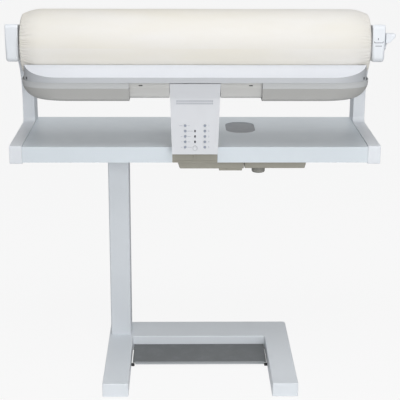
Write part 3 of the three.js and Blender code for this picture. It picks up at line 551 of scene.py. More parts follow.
def bevel_edges(shape: Body, width: float, segments: int,
                keep: Callable[[Edge], bool]) -> None:
    """Round the edges that a test picks.

    Args:
        shape: The mesh.
        width: Width of the rounding.
        segments: Strips across it.
        keep: Test for one edge.
    """
    edges = [edge for edge in shape.edges if keep(edge)]
    if edges and width > 0:
        bmesh.ops.bevel(
            shape, geom=edges, offset=width, offset_type="OFFSET", segments=segments,
            profile=0.5, affect="EDGES", material=-1, clamp_overlap=True)


def fold(edge: Edge) -> float:
    """Return the degrees between an edge's two faces, or 0 at a border."""
    return math.degrees(edge.calc_face_angle(0.0))


def prism(corners: Sequence[Corner], axis: Axis, start: float, end: float, rim: float = 0.0,
          rim_segments: int = 2, step: float = 8.0) -> Body:
    """Push a rounded outline along an axis.

    Args:
        corners: The outline's corners.
        axis: The direction.
        start: Where the outline lies.
        end: Where it is pushed to.
        rim: Width of the rounding along both end faces.
        rim_segments: Strips in that rounding.
        step: Degrees that one side of a rounded corner turns.

    Returns:
        The closed body.
    """
    shape = bmesh.new()
    outline_face(shape, corners, axis, start, step)
    pushed = bmesh.ops.extrude_face_region(shape, geom=shape.faces[:])
    bmesh.ops.translate(shape, verts=new_verts(pushed), vec=axis.vector * (end - start))
    bmesh.ops.recalc_face_normals(shape, faces=shape.faces[:])
    if rim > 0:
        ends = (start, end)

        def on_rim(edge: Edge) -> bool:
            """Whether an edge borders one of the two end faces."""
            depths = [axis.depth(vert.co) for vert in edge.verts]
            return abs(depths[0] - depths[1]) < SAME and min(abs(depths[0] - e) for e in ends) < SAME

        bevel_edges(shape, rim, rim_segments, on_rim)
    return shape


def rectangle(low: Point, high: Point, radius: float = 0.0) -> list[Corner]:
    """Return a rectangle's corners, all with one radius."""
    return [Corner(low[0], low[1], radius), Corner(high[0], low[1], radius),
            Corner(high[0], high[1], radius), Corner(low[0], high[1], radius)]


def slab(low: Sequence[float], high: Sequence[float], edge: float = 0.0, segments: int = 2) -> Body:
    """Make a block with every edge rounded.

    Args:
        low: Lowest corner.
        high: Highest corner.
        edge: Width of the rounding.
        segments: Strips in the rounding.

    Returns:
        The closed body.
    """
    shape = bmesh.new()
    bmesh.ops.create_cube(shape, size=1.0)
    size = Vector(high) - Vector(low)
    bmesh.ops.scale(shape, vec=size, verts=shape.verts[:])
    bmesh.ops.translate(shape, vec=(Vector(low) + Vector(high)) / 2, verts=shape.verts[:])
    bevel_edges(shape, edge, segments, lambda _: True)
    return shape


def turning(profile: Sequence[Level], axis: Axis, centre: Vector, steps: int = 48) -> Body:
    """Turn a closed profile about an axis.

    Args:
        profile: Pairs of distance along the axis and radius.
        axis: The axis to turn about.
        centre: A point on the axis; distances count from it.
        steps: Sides of the full turn.

    Returns:
        The turned body.
    """
    shape = bmesh.new()
    out = axis.point(1.0, 0.0, 0.0)
    verts = [shape.verts.new(centre + axis.vector * along + out * radius) for along, radius in profile]
    closed = all(radius > 1e-6 for _, radius in profile)
    pairs = list(zip(verts, verts[1:])) + ([(verts[-1], verts[0])] if closed else [])
    edges = [shape.edges.new(pair) for pair in pairs]
    bmesh.ops.spin(
        shape, geom=verts + edges, cent=centre, axis=axis.vector, dvec=(0, 0, 0),
        angle=math.tau, steps=steps, use_merge=True, use_duplicate=False)
    bmesh.ops.remove_doubles(shape, verts=shape.verts[:], dist=1e-6)
    bmesh.ops.recalc_face_normals(shape, faces=shape.faces[:])
    return shape


def disc(axis: Axis, centre: Vector, radius: float, length: float, edge: float = 0.0,
         steps: int = 40) -> Body:
    """Make a round bar with softened ends, centred on a point.

    Args:
        axis: Its direction.
        centre: Its middle.
        radius: Its radius.
        length: Its length.
        edge: Rounding of its two ends.
        steps: Sides of the full turn.

    Returns:
        The closed body.
    """
    half = length / 2
    arc = [(half - edge * (1 - math.sin(a)), radius - edge * (1 - math.cos(a)))
           for a in (math.radians(d) for d in (0, 22.5, 45, 67.5, 90))] if edge else [(half, radius)]
    rise = [(-along, r) for along, r in reversed(arc)]
    return turning([(-half, 0.0), *rise, *arc, (half, 0.0)], axis, centre, steps)


def merged(parts: Iterable[Body]) -> Body:
    """Gather several bodies in one mesh and free them."""
    whole = bmesh.new()
    for part in parts:
        scratch = bpy.data.meshes.new("scratch")
        part.to_mesh(scratch)
        part.free()
        whole.from_mesh(scratch)
        bpy.data.meshes.remove(scratch)
    return whole


def soften(shape: Body, sharp: float = 38.0) -> None:
    """Mark faces smooth and keep the edges that fold more than an angle sharp."""
    for face in shape.faces:
        face.smooth = True
    for edge in shape.edges:
        edge.smooth = fold(edge) < sharp


def new_object(name: str, shape: Body, sharp: float = 38.0) -> Piece:
    """Turn a bmesh into an object of the scene.

    Args:
        name: The object's name.
        shape: The mesh, which is freed.
        sharp: Degrees of fold from which an edge stays sharp.

    Returns:
        The object.
    """
    soften(shape, sharp)
    mesh = bpy.data.meshes.new(name)
    shape.to_mesh(mesh)
    shape.free()
    made = bpy.data.objects.new(name, mesh)
    bpy.context.scene.collection.objects.link(made)
    return made


def settle(piece: Piece, sharp: float = 38.0) -> None:
    """Apply a piece's modifiers and mark its sharp edges again."""
    bpy.context.view_layer.update()
    graph = bpy.context.evaluated_depsgraph_get()
    mesh = bpy.data.meshes.new_from_object(piece.evaluated_get(graph))
    piece.modifiers.clear()
    shape = bmesh.new()
    shape.from_mesh(mesh)
    bmesh.ops.remove_doubles(shape, verts=shape.verts[:], dist=2e-6)
    bmesh.ops.dissolve_degenerate(shape, edges=shape.edges[:], dist=2e-6)
    soften(shape, sharp)
    loose = sum(1 for edge in shape.edges if not edge.is_manifold)
    if loose:
        LOG.warning("%s has %d open edges", piece.name, loose)
    shape.to_mesh(mesh)
    shape.free()
    old = piece.data
    piece.data = mesh
    bpy.data.meshes.remove(old)


def carve(piece: Piece, cutter: Body, operation: str = "DIFFERENCE",
          sharp: float = 38.0) -> None:
    """Cut a body out of a piece, or keep only what they share.

    Args:
        piece: The piece to change.
        cutter: The cutting body, which is freed.
        operation: DIFFERENCE, INTERSECT or UNION.
        sharp: Degrees of fold from which an edge stays sharp.
    """
    tool = new_object("cutter", cutter)
    modifier = piece.modifiers.new("cut", "BOOLEAN")
    modifier.operation = operation
    modifier.solver = "MANIFOLD"
    modifier.object = tool
    settle(piece, sharp)
    old = tool.data
    bpy.data.objects.remove(tool)
    bpy.data.meshes.remove(old)


def thicken(piece: Piece, wall: float, side: float = -1.0, sharp: float = 38.0) -> None:
    """Give an open skin its wall.

    Args:
        piece: The skin.
        wall: The wall's thickness.
        side: -1 grows it against the normals, 1 along them.
        sharp: Degrees of fold from which an edge stays sharp.
    """
    modifier = piece.modifiers.new("wall", "SOLIDIFY")
    modifier.thickness = wall
    modifier.offset = side
    modifier.use_even_offset = True
    settle(piece, sharp)


def second_finish(piece: Piece, finish: Finish, picks: Callable[[bpy.types.MeshPolygon], bool]) -> None:
    """Give the faces that a test picks another finish.

    Args:
        piece: The dressed piece.
        finish: The finish of the picked faces.
        picks: Test for one face.
    """
    piece.data.materials.append(finish.material())
    for polygon in piece.data.polygons:
        polygon.material_index = int(picks(polygon))


@dataclass
class Assembly:
    """What every sub-assembly shares: its body and how its pieces are handed over."""

    body: str = "frame"

    def show(self, piece: Piece, finish: Finish, stands_for: Sequence[str] = (),
             body: str | None = None, slot: str | None = None) -> Piece:
        """Dress a piece and fix it to its body.

        Args:
            piece: The finished piece.
            finish: Its finish.
            stands_for: CAD nodes that it replaces.
            body: Body to ride on, if not the assembly's own.
            slot: Not used; names a material slot for a piece that replaces no node.

        Returns:
            The same piece.
        """
        piece.data.materials.clear()
        piece.data.materials.append(finish.material())
        weighted = piece.modifiers.new("even_shading", "WEIGHTED_NORMAL")
        weighted.keep_sharp = True
        weighted.weight = 80
        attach(piece, body or self.body)
        if stands_for:
            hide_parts(*stands_for)
        LOG.info("%s: %d faces", piece.name, len(piece.data.polygons))
        return piece


# --------------------------------------------------------------------- roller
@dataclass
class Roller(Assembly):
    """The cotton cover, stretched over the padding and gathered at both ends."""

    body: str = "roller"
    turn: float = 9 * MM
    shoulder: float = 64 * MM
    taper: float = 0.19
    opening: float = 36 * MM
    cloth: float = 1.4 * MM
    folds: int = 58
    depth: tuple[float, float] = (4.4 * MM, 3.4 * MM)
    around: int = 640
    steps: int = 56
    seam_at: float = 38.0
    box: Box = field(default_factory=lambda: Box.of("roller_cover"))

    @property
    def half(self) -> float:
        """Half the length between the tips that the rounded ends would meet in."""
        return self.box.size.x / 2 + 1.2 * MM

    @property
    def radius(self) -> float:
        """The cover's radius."""
        return self.box.size.z / 2

    def reach(self, inward: float) -> float:
        """Radius of the smooth form at a distance from the nearer end."""
        turn = max(0.0, 1.0 - inward / self.turn)
        fade = max(0.0, 1.0 - inward / self.shoulder)
        return self.radius * math.sqrt(1.0 - turn ** 2) * (1.0 - self.taper * fade ** 2)

    def profile(self) -> list[Level]:
        """The cover's closed section: outside, hem and lining."""
        inward = [self.turn * (1.0 - math.cos(math.radians(29 + 61 * i / 14))) for i in range(15)]
        inward += [self.turn + (self.shoulder - self.turn) * i / 22 for i in range(1, 23)]
        left = [(-self.half + d, self.reach(d)) for d in inward]
        span = self.half - self.shoulder
        middle = [(-span + 2 * span * i / self.steps, self.radius) for i in range(1, self.steps)]
        right = [(-along, radius) for along, radius in reversed(left)]
        lining = [(along, radius - self.cloth) for along, radius in (right[-6], right[-14], right[0])]
        hem = [(self.half - 1.9 * MM, self.opening + 0.8 * MM), (self.half - 2.9 * MM, self.opening),
               (self.half - 4.6 * MM, self.opening + 0.8 * MM)]
        return [*left, *middle, *right, *hem, *lining,
                *[(-a, r) for a, r in reversed(lining)], *[(-a, r) for a, r in reversed(hem)]]

    def pucker(self, angle: float, inward: float, side: float) -> float:
        """Height of the gathers and slack in the cloth at one spot.

        Args:
            angle: Angle about the roller's axis.
            inward: Distance from the nearer end.
            side: -1 at the left end, 1 at the right.

        Returns:
            Height over the smooth form, in metres.
        """
        round_place = Vector((math.cos(angle), math.sin(angle), side * 3.7))
        drift = 1.1 * noise.noise(round_place * 1.7) + 0.5 * noise.noise(round_place * 5.0)
        wave = math.sin(self.folds / 2 * angle + 3.2 * drift)
        crease = 1.0 - abs(wave) ** 0.6
        strength = 0.65 + 1.1 * max(0.0, noise.noise(round_place * 2.6 + Vector((0, 0, 9))))
        length = (20 + 22 * abs(noise.noise(round_place * 3.9))) * MM
        fade = math.exp(-((inward / length) ** 2.2)) * share(0.3 + inward / (7 * MM))
        gathers = -self.depth[int(side > 0)] * strength * crease * fade
        gathers += 1.3 * MM * math.exp(-((inward / (6 * MM)) ** 2))
        sway = Vector((inward * 9, math.cos(angle) * 2.4, math.sin(angle) * 2.4 + side))
        slack = 0.3 * MM * noise.noise(sway)
        return gathers + slack * min(1.0, inward / (40 * MM)) - 0.35 * MM

    def build(self) -> None:
        """Shape the cover with its gathers and its lap seam."""
        centre = self.box.middle
        shape = turning(self.profile(), Axis.X, centre, self.around)
        for vert in shape.verts:
            spot = vert.co - centre
            angle = math.atan2(spot.z, spot.y)
            reach = math.hypot(spot.y, spot.z)
            inward = self.half - abs(spot.x)
            lining = self.reach(max(inward, 0.0001)) - reach > 0.6 * MM
            if lining or reach < self.opening + 1.2 * MM:
                continue
            side = math.copysign(1.0, spot.x)
            out = Vector((0.0, spot.y, spot.z)) / reach
            step = 0.2 * MM
            slope = (self.reach(inward + step) - self.reach(inward - step)) / (2 * step)
            normal = (out + Vector((side * slope, 0.0, 0.0))).normalized()
            vert.co += normal * self.pucker(angle, inward, side)
            seam = abs(math.remainder(angle - math.radians(self.seam_at), math.tau)) * reach
            lap = max(0.0, 1.0 - seam / (5 * MM)) ** 0.5
            vert.co += out * 0.45 * MM * lap * min(1.0, inward / (30 * MM))
        layer = shape.loops.layers.uv.new("cloth")
        for face in shape.faces:
            middle = face.calc_center_median()
            base = math.atan2(middle.z - centre.z, middle.y - centre.y)
            for loop in face.loops:
                spot = loop.vert.co - centre
                angle = base + math.remainder(math.atan2(spot.z, spot.y) - base, math.tau)
                loop[layer].uv = (angle * self.radius, spot.x)
        piece = new_object("roller_cloth", shape, sharp=80.0)
        self.show(piece, Finishes.COTTON, ["roller_cover"])


# ----------------------------------------------------------------------- arms
@dataclass
class SideArm(Assembly):
    """One C-shaped arm: a casting with a cover plate let into its outer side."""

    side: str = "right"
    head_front: float = 49.5 * MM
    head_above: float = 50.2 * MM
    head_below: float = 46.4 * MM
    upright: float = 72 * MM
    top_fall: float = 9.5
    under_fall: float = 3.0
    plate_inset: float = 7.6 * MM
    recess: float = 0.5 * MM
    rail_rise: float = 2.5 * MM
    edge: float = 1.6 * MM
    head_edge: float = 1.3 * MM
    lower_edge: float = 4.8 * MM
    table_edge: float = 1.2 * MM
    stride: float = 7 * MM

    def corners(self, inset: float = 0.0) -> list[Corner]:
        """The arm's side outline.

        Args:
            inset: Distance that every side is moved in by.

        Returns:
            The outline's corners.
        """
        box = Box.of(f"side_arm_{self.side}")
        table = Box.of("table_top")
        roller = Box.of("roller_cover").middle
        rail_top = table.high.z + self.rail_rise - inset
        front = roller.y - self.head_front + inset
        top, under = math.radians(self.top_fall), math.radians(self.under_fall)
        back, low, inner = box.high.y - inset, box.low.z + inset, box.high.y - self.upright + inset

        def top_at(y: float) -> float:
            """Height of the top bar's upper side."""
            return roller.z + self.head_above - inset / math.cos(top) - (y - roller.y) * math.tan(top)

        def under_at(y: float) -> float:
            """Height of the top bar's lower side."""
            return roller.z - self.head_below + inset / math.cos(under) - (y - roller.y) * math.tan(under)

        first = box.low.y + inset
        return [
            Corner(first, low, 3 * MM), Corner(back, low, 12 * MM),
            Corner(back, top_at(back), 45 * MM - inset),
            Corner(front, top_at(front), max(2 * MM, 10 * MM - inset)),
            Corner(front, under_at(front), max(2 * MM, 14 * MM - inset)),
            Corner(inner, under_at(inner), 150 * MM + inset), Corner(inner, rail_top, 14 * MM + inset),
            Corner(first, rail_top, 3 * MM),
        ]

    def build(self) -> None:
        """Shape the casting and its cover plate."""
        box = Box.of(f"side_arm_{self.side}")
        head = Box.of("roller_cover").middle
        outward = 1.0 if self.side == "right" else -1.0
        outer = box.high.x if outward > 0 else box.low.x
        inner = box.low.x if outward > 0 else box.high.x
        piece = new_object(f"arm_casting_{self.side}", self.casting(inner, outer))
        deep = outer - outward * 2.6 * MM
        carve(piece, prism(self.corners(self.plate_inset - 0.3 * MM), Axis.X, deep,
                           outer + outward * 5 * MM, step=5.0))
        self.show(piece, Finishes.CAP, [f"side_arm_{self.side}"])
        plate = prism(self.corners(self.plate_inset), Axis.X, deep + outward * 0.1 * MM,
                      outer - outward * self.recess, rim=0.6 * MM, step=5.0)
        cover = new_object(f"arm_plate_{self.side}", plate)
        if self.side == "right":
            carve(cover, disc(Axis.X, Vector((outer, head.y, head.z)), 7.4 * MM, 20 * MM))
        self.show(cover, Finishes.CAP, [f"arm_cover_{self.side}"])
        if self.side == "right":
            self.symbol(Vector((box.middle.x, box.low.y, head.z)), head.y - self.head_front)

    def rounding(self, spot: Vector, facing_table: bool, head: Vector, rail_top: float) -> float:
        """Width of the rounded edge at one spot of the side outline.

        Args:
            spot: Y and Z of the spot.
            facing_table: Whether the edge lies on the side that faces the table.
            head: The roller's middle.
            rail_top: Height of the lower rail's upper side.

        Returns:
            The width in metres.
        """
        ahead = share((head.y + 12 * MM - spot.x) / (24 * MM))
        high = share((spot.y - head.z + 85 * MM) / (20 * MM))
        below = share((head.z + 20 * MM - spot.y) / (50 * MM))
        width = self.edge + ahead * high * (self.head_edge + self.lower_edge * below)
        if facing_table:
            width -= self.table_edge * share((rail_top + 30 * MM - spot.y) / (26 * MM))
        return width

    def casting(self, inner: float, outer: float) -> Body:
        """Loft the arm from its outline, with both flat sides rounded off.

        Args:
            inner: X of the side that faces the table.
            outer: X of the far side.

        Returns:
            The closed body.
        """
        head = Box.of("roller_cover").middle
        rail_top = Box.of("table_top").high.z + self.rail_rise
        shape = bmesh.new()
        outline_face(shape, self.corners(), Axis.X, inner, step=5.0)
        shape.faces.ensure_lookup_table()
        rough = [Vector((vert.co.y, vert.co.z)) for vert in shape.faces[0].verts]
        shape.clear()
        spots = []
        for here, after in zip(rough, [*rough[1:], rough[0]]):
            parts = 1 + int((after - here).length / self.stride)
            spots += [here.lerp(after, part / parts) for part in range(parts)]
        count = len(spots)
        sides = [(spots[(i + 1) % count] - spots[i]).normalized() for i in range(count)]
        way = 1.0 if polygon_area(spots) > 0 else -1.0
        direction = math.copysign(1.0, outer - inner)
        rings = []
        quarter = range(0, 91, 18)
        for facing_table, degrees in [(True, a) for a in quarter] + [(False, a) for a in reversed(quarter)]:
            flat = 1.0 - math.sin(math.radians(degrees))
            deep = 1.0 - math.cos(math.radians(degrees))
            ring = []
            for index, spot in enumerate(spots):
                width = self.rounding(spot, facing_table, head, rail_top)
                along = (sides[index - 1] + sides[index]).normalized()
                lean = max(0.5, along.dot(sides[index]))
                moved = spot + Vector((-along.y, along.x)) * way * width * flat / lean
                at = inner + direction * width * deep if facing_table else outer - direction * width * deep
                ring.append(shape.verts.new((at, moved.x, moved.y)))
            rings.append(ring)
        for first, second in zip(rings, rings[1:]):
            for index in range(count):
                after = (index + 1) % count
                shape.faces.new((first[index], first[after], second[after], second[index]))
        shape.faces.new(rings[0][::-1])
        shape.faces.new(rings[-1])
        bmesh.ops.recalc_face_normals(shape, faces=shape.faces[:])
        return shape

    def symbol(self, head: Vector, front: float) -> None:
        """Print the small bowl-and-bar sign on the front of the head.

        Args:
            head: Middle of the head's width, at the roller's height.
            front: The head's foremost Y.
        """
        marks = []
        strokes = ((0.0, 0.6, 17.5, 1.5), (-11.5, 11.4, 1.5, 3.6), (11.5, 11.4, 1.5, 3.6),
                   (0.0, 9.4, 22.5, 1.6), (-1.7, 19.6, 1.8, 5.4))
        for along, height, wide, tall in strokes:
            low = (head.x + (along - wide / 2) * MM, front - 0.12 * MM, head.z + (height - tall / 2) * MM)
            high = (head.x + (along + wide / 2) * MM, front + 0.8 * MM, head.z + (height + tall / 2) * MM)
            marks.append(slab(low, high))
        self.show(new_object("head_sign", merged(marks)), Finishes.SIGN, slot="key_plastic")


@dataclass
class HandLever(Assembly):
    """The lever on the right head: hub, flat arm and a grip with a flat top."""

    body: str = "release_lever"

    def build(self) -> None:
        """Shape the lever."""
        box = Box.of("release_lever")
        head = Box.of("roller_cover").middle
        face = Box.of("side_arm_right").high.x
        hub = disc(Axis.X, Vector((face + 4.7 * MM, head.y, head.z)), 18 * MM, 8.6 * MM, edge=2 * MM)
        stub = disc(Axis.X, Vector((face - 5 * MM, head.y, head.z)), 6.9 * MM, 14 * MM)
        tip = Vector((0.0, box.low.y + 12.5 * MM, box.high.z - 12.5 * MM))
        reach = Vector((head.y - tip.y, tip.z - head.z))
        arm = prism([Corner(-reach.length, -10 * MM, 7 * MM), Corner(0, -13 * MM, 4 * MM),
                     Corner(0, 13 * MM, 4 * MM), Corner(-reach.length, 10 * MM, 7 * MM)],
                    Axis.X, face + 1.2 * MM, face + 8.4 * MM, rim=1.4 * MM, rim_segments=3)
        bmesh.ops.rotate(arm, verts=arm.verts[:], cent=(0, 0, 0),
                         matrix=Matrix.Rotation(-math.atan2(reach.y, reach.x), 3, "X"))
        bmesh.ops.translate(arm, verts=arm.verts[:], vec=(0.0, head.y, head.z))
        low, high = tip.z - 12 * MM, tip.z + 12.4 * MM
        grip = prism([Corner(face + 1.4 * MM, low, 1.5 * MM), Corner(face + 12 * MM, low, 6 * MM),
                      Corner(box.high.x, tip.z + 5 * MM, 7 * MM), Corner(box.high.x, high, 2.4 * MM),
                      Corner(face + 1.4 * MM, high, 1.5 * MM)],
                     Axis.Y, tip.y - 11.5 * MM, tip.y + 11.5 * MM, rim=2.2 * MM, rim_segments=3)
        piece = new_object("hand_lever", merged([hub, stub, arm, grip]))
        self.show(piece, Finishes.CAP, ["release_lever"])


# ---------------------------------------------------------------------- table
@dataclass
class Table(Assembly):
    """The folded work table and the filler cup let into it."""

    skin: float = 1.6 * MM
    notch_half: float = 62 * MM
    notch_depth: float = 70 * MM

    def build(self) -> None:
        """Shape the table and the filler cup."""
        box = Box.of("table_top")
        panel = Box.of("control_cover")
        cup = Box.of("filler_cup")
        shape = slab(box.low, box.high)
        lowest = [face for face in shape.faces if face.calc_center_median().z < box.low.z + FLUSH]
        bmesh.ops.delete(shape, geom=lowest, context="FACES_ONLY")
        bevel_edges(shape, 2.2 * MM, 4, lambda edge: not edge.is_boundary and abs(
            edge.verts[0].co.x - edge.verts[1].co.x) > 1e-3)
        bevel_edges(shape, 0.4 * MM, 2, lambda edge: fold(edge) > 60)
        top = new_object("table_skin", shape)
        thicken(top, self.skin)
        middle = panel.middle.x
        carve(top, slab((middle - self.notch_half, box.low.y - PAST, box.low.z - PAST),
                        (middle + self.notch_half, box.low.y + self.notch_depth, box.high.z + PAST)))
        opening = self.cup_corners(cup, 3.6 * MM)
        carve(top, prism(opening, Axis.Z, box.high.z - 8 * MM, box.high.z + 8 * MM, step=5.0))
        self.show(top, Finishes.TABLE, ["table_top"])
        self.build_cup(cup)

    def cup_corners(self, cup: Box, inset: float) -> list[Corner]:
        """The cup's outline from above, some way in from its flange."""
        low = (cup.low.x + inset, cup.low.y + inset)
        high = (cup.high.x - inset, cup.high.y - inset)
        return rectangle(low, high, 42 * MM - inset)

    def build_cup(self, cup: Box) -> None:
        """Shape the filler cup as a moulded bowl with a flange and a drain.

        Args:
            cup: The cup's box.
        """
        rim = cup.high.z
        deep = 26 * MM
        shape = bmesh.new()
        outline_face(shape, self.cup_corners(cup, 0.2 * MM), Axis.Z, rim, step=6.0)
        bmesh.ops.inset_region(shape, faces=shape.faces[:], thickness=3.8 * MM, depth=0.0)
        floor = max(shape.faces, key=lambda face: len(face.verts))
        for drop, inset in ((1.2 * MM, 0.5 * MM), (deep * 0.5, 2.5 * MM), (deep * 0.25, 5 * MM),
                            (deep * 0.13, 6 * MM), (deep * 0.05, 7 * MM)):
            floor = push(shape, floor)
            centre = floor.calc_center_bounds()
            wide = max(vert.co.x for vert in floor.verts) - centre.x
            long = max(vert.co.y for vert in floor.verts) - centre.y
            bmesh.ops.scale(shape, verts=floor.verts[:], vec=(1 - inset / wide, 1 - inset / long, 1.0),
                            space=Matrix.Translation(-centre))
            bmesh.ops.translate(shape, verts=floor.verts[:], vec=(0, 0, -drop))
        bmesh.ops.recalc_face_normals(shape, faces=shape.faces[:])
        piece = new_object("filler_bowl", shape, sharp=60.0)
        thicken(piece, 1.6 * MM, 0.0, 60.0)
        tank = Box.of("water_tank").high.z + 0.4 * MM
        drain = Vector((cup.middle.x, cup.middle.y + 30 * MM, 0.0))
        length = rim - deep + 1.5 * MM - tank
        spout = disc(Axis.Z, drain + Vector((0, 0, tank + length / 2)), 9 * MM, length)
        carve(piece, spout, "UNION", 60.0)
        carve(piece, disc(Axis.Z, drain + Vector((0, 0, tank)), 6.5 * MM, 60 * MM), sharp=60.0)
        self.show(piece, Finishes.CUP, ["filler_cup"])


# ----------------------------------------------------------------------- shoe
@dataclass
class Shoe(Assembly):
    """The feed tray, the shells below it and the heated plate."""

    body: str = "shoe"
    corner_reach: float = 105 * MM
    corner_depth: float = 75 * MM
    corner_power: float = 2.4
    wall: float = 2.5 * MM
    bore: float = 94 * MM
    plate: float = 8 * MM
    end_radius: float = 48 * MM
    slot: tuple[float, float, float] = (146 * MM, 10 * MM, 3 * MM)
    foot_radius: float = 12 * MM
    fall: float = 26.5 / 47.7
    upward: float = 0.25
    side_height: float = 16 * MM
    plug_spot: Point = (448.1 * MM, 32.9 * MM)
    plug_lean: Point = (-143.0, -37.0)
    plate_start: float = 30.0
    plate_arc: float = 92.0

    def plan(self, half: float, front: float, back: float) -> list[Vector]:
        """Plan outline: long rounded front corners and clipped rear ones.

        Args:
            half: Half the length along the roller.
            front: Foremost Y.
            back: Rearmost Y.

        Returns:
            Points in order, seen from above, on the floor plane.
        """
        middle = Box.of("shoe_plate").middle.x
        right = []
        for index in range(25):
            angle = index * math.pi / 48
            u = math.sin(angle) ** (2 / self.corner_power)
            v = math.cos(angle) ** (2 / self.corner_power)
            right.append((half - self.corner_reach * (1 - u), front + self.corner_depth * (1 - v)))
        right += [(half, back - 22 * MM), (half - 3 * MM, back - 8 * MM), (half - 22 * MM, back)]
        spots = [(-x, y) for x, y in reversed(right)] + right
        return [Vector((middle + x, y, 0.0)) for x, y in spots]

    def build(self) -> None:
        """Shape tray, shells, plugs and plate."""
        self.build_tray()
        self.build_shells()
        self.build_plugs()
        self.build_plate()

    def roller_room(self, radius: float) -> Body:
        """The round space about the roller."""
        roller = Box.of("roller_cover")
        return disc(Axis.X, roller.middle, radius, roller.size.x + 60 * MM, steps=160)

    def build_tray(self) -> None:
        """Shape the sloping feed tray and its rolled lip."""
        tray = Box.of("feed_tray")
        shape = bmesh.new()
        points = self.plan(tray.size.x / 2, tray.low.y, tray.high.y + 30 * MM)
        face = shape.faces.new([shape.verts.new(spot + Vector((0, 0, tray.low.z))) for spot in points])
        pushed = bmesh.ops.extrude_face_region(shape, geom=[face])
        bmesh.ops.translate(shape, verts=new_verts(pushed), vec=(0, 0, 60 * MM))
        bmesh.ops.recalc_face_normals(shape, faces=shape.faces[:])
        normal = Vector((0.0, -self.fall, 1.0)).normalized()
        spot = Vector((0.0, tray.low.y, tray.low.z + 14.5 * MM))
        for cut_at, direction in ((spot, normal), (Vector((0, tray.high.y, 0)), Vector((0, 1, 0)))):
            cut = bmesh.ops.bisect_plane(
                shape, geom=shape.verts[:] + shape.edges[:] + shape.faces[:], plane_co=cut_at,
                plane_no=direction, clear_outer=True, dist=1e-6)
            rim = [item for item in cut["geom_cut"] if isinstance(item, Edge)]
            bmesh.ops.holes_fill(shape, edges=rim)

        def upper_front(edge: Edge) -> bool:
            """Whether an edge runs along the tray's upper front rim."""
            middle = (edge.verts[0].co + edge.verts[1].co) / 2
            flush = all(abs((vert.co - spot).dot(normal)) < FLUSH for vert in edge.verts)
            return flush and fold(edge) > 20 and middle.y < tray.high.y - 1 * MM

        bevel_edges(shape, 3.2 * MM, 5, upper_front)
        bmesh.ops.recalc_face_normals(shape, faces=shape.faces[:])
        piece = new_object("tray_skin", shape)
        carve(piece, self.roller_room(self.bore + 0.3 * MM))
        hollow = slab((tray.low.x + 108 * MM, tray.low.y + self.wall, tray.low.z - 5 * MM),
                      (tray.high.x - 108 * MM, tray.high.y + 5 * MM, tray.low.z + 9 * MM))
        carve(piece, hollow)
        self.show(piece, Finishes.TRAY, ["feed_tray"])
        # Painted shade: faces that point up less than self.upward get the darker copy of the tray coat.
        second_finish(piece, Finishes.TRAY_LIP_PAINTED_SHADE, lambda polygon: polygon.normal.z < self.upward)

    def shell_skin(self, set_back: float, floor: float, top: float) -> Body:
        """Loft the trough below the tray, from its upper edge down to its floor.

        Args:
            set_back: Distance that the front wall is set back.
            floor: Height of the floor.
            top: Height of the upper edge.

        Returns:
            The open skin, facing out.
        """
        tray = Box.of("feed_tray")
        half = Box.of("shoe_cover_right").high.x - tray.middle.x
        front = tray.low.y + 5.5 * MM + set_back
        back = Box.of("shoe_cover_right").high.y
        crease = top - self.side_height - floor
        shape = bmesh.new()
        points = self.plan(half, front, back)
        face = shape.faces.new([shape.verts.new(spot + Vector((0, 0, top))) for spot in points])
        lid = face
        centre = Vector((tray.middle.x, back, 0.0))
        levels = (32, 27, 22, 17, 12, 9, 6.5, 4.2, 2.4, 1.1, 0.3, 0)
        lower = [level * MM for level in levels if level * MM < crease - 1 * MM]
        for rise in (crease + 1.5 * MM, crease, *lower):
            face = push(shape, face)
            inset_x = self.round_in(rise, self.end_radius)
            inset_y = 0.6 * MM + max(0.0, crease - max(rise, self.foot_radius)) * 0.3
            inset_y += self.round_in(rise, self.foot_radius) + (0.8 * MM if rise <= crease else 0.0)
            reach_x = max(abs(vert.co.x - centre.x) for vert in face.verts)
            reach_y = max(abs(vert.co.y - centre.y) for vert in face.verts)
            bmesh.ops.scale(shape, verts=face.verts[:], space=Matrix.Translation(-centre),
                            vec=((half - inset_x) / reach_x, (back - front - inset_y) / reach_y, 1.0))
            bmesh.ops.translate(shape, verts=face.verts[:], vec=(0, 0, floor + rise - face.verts[0].co.z))
        bmesh.ops.recalc_face_normals(shape, faces=shape.faces[:])
        bmesh.ops.delete(shape, geom=[lid], context="FACES_ONLY")
        return shape

    @staticmethod
    def round_in(rise: float, radius: float) -> float:
        """How far a quarter round has turned in at a height over its lowest point."""
        return radius - math.sqrt(radius ** 2 - max(0.0, radius - rise) ** 2)

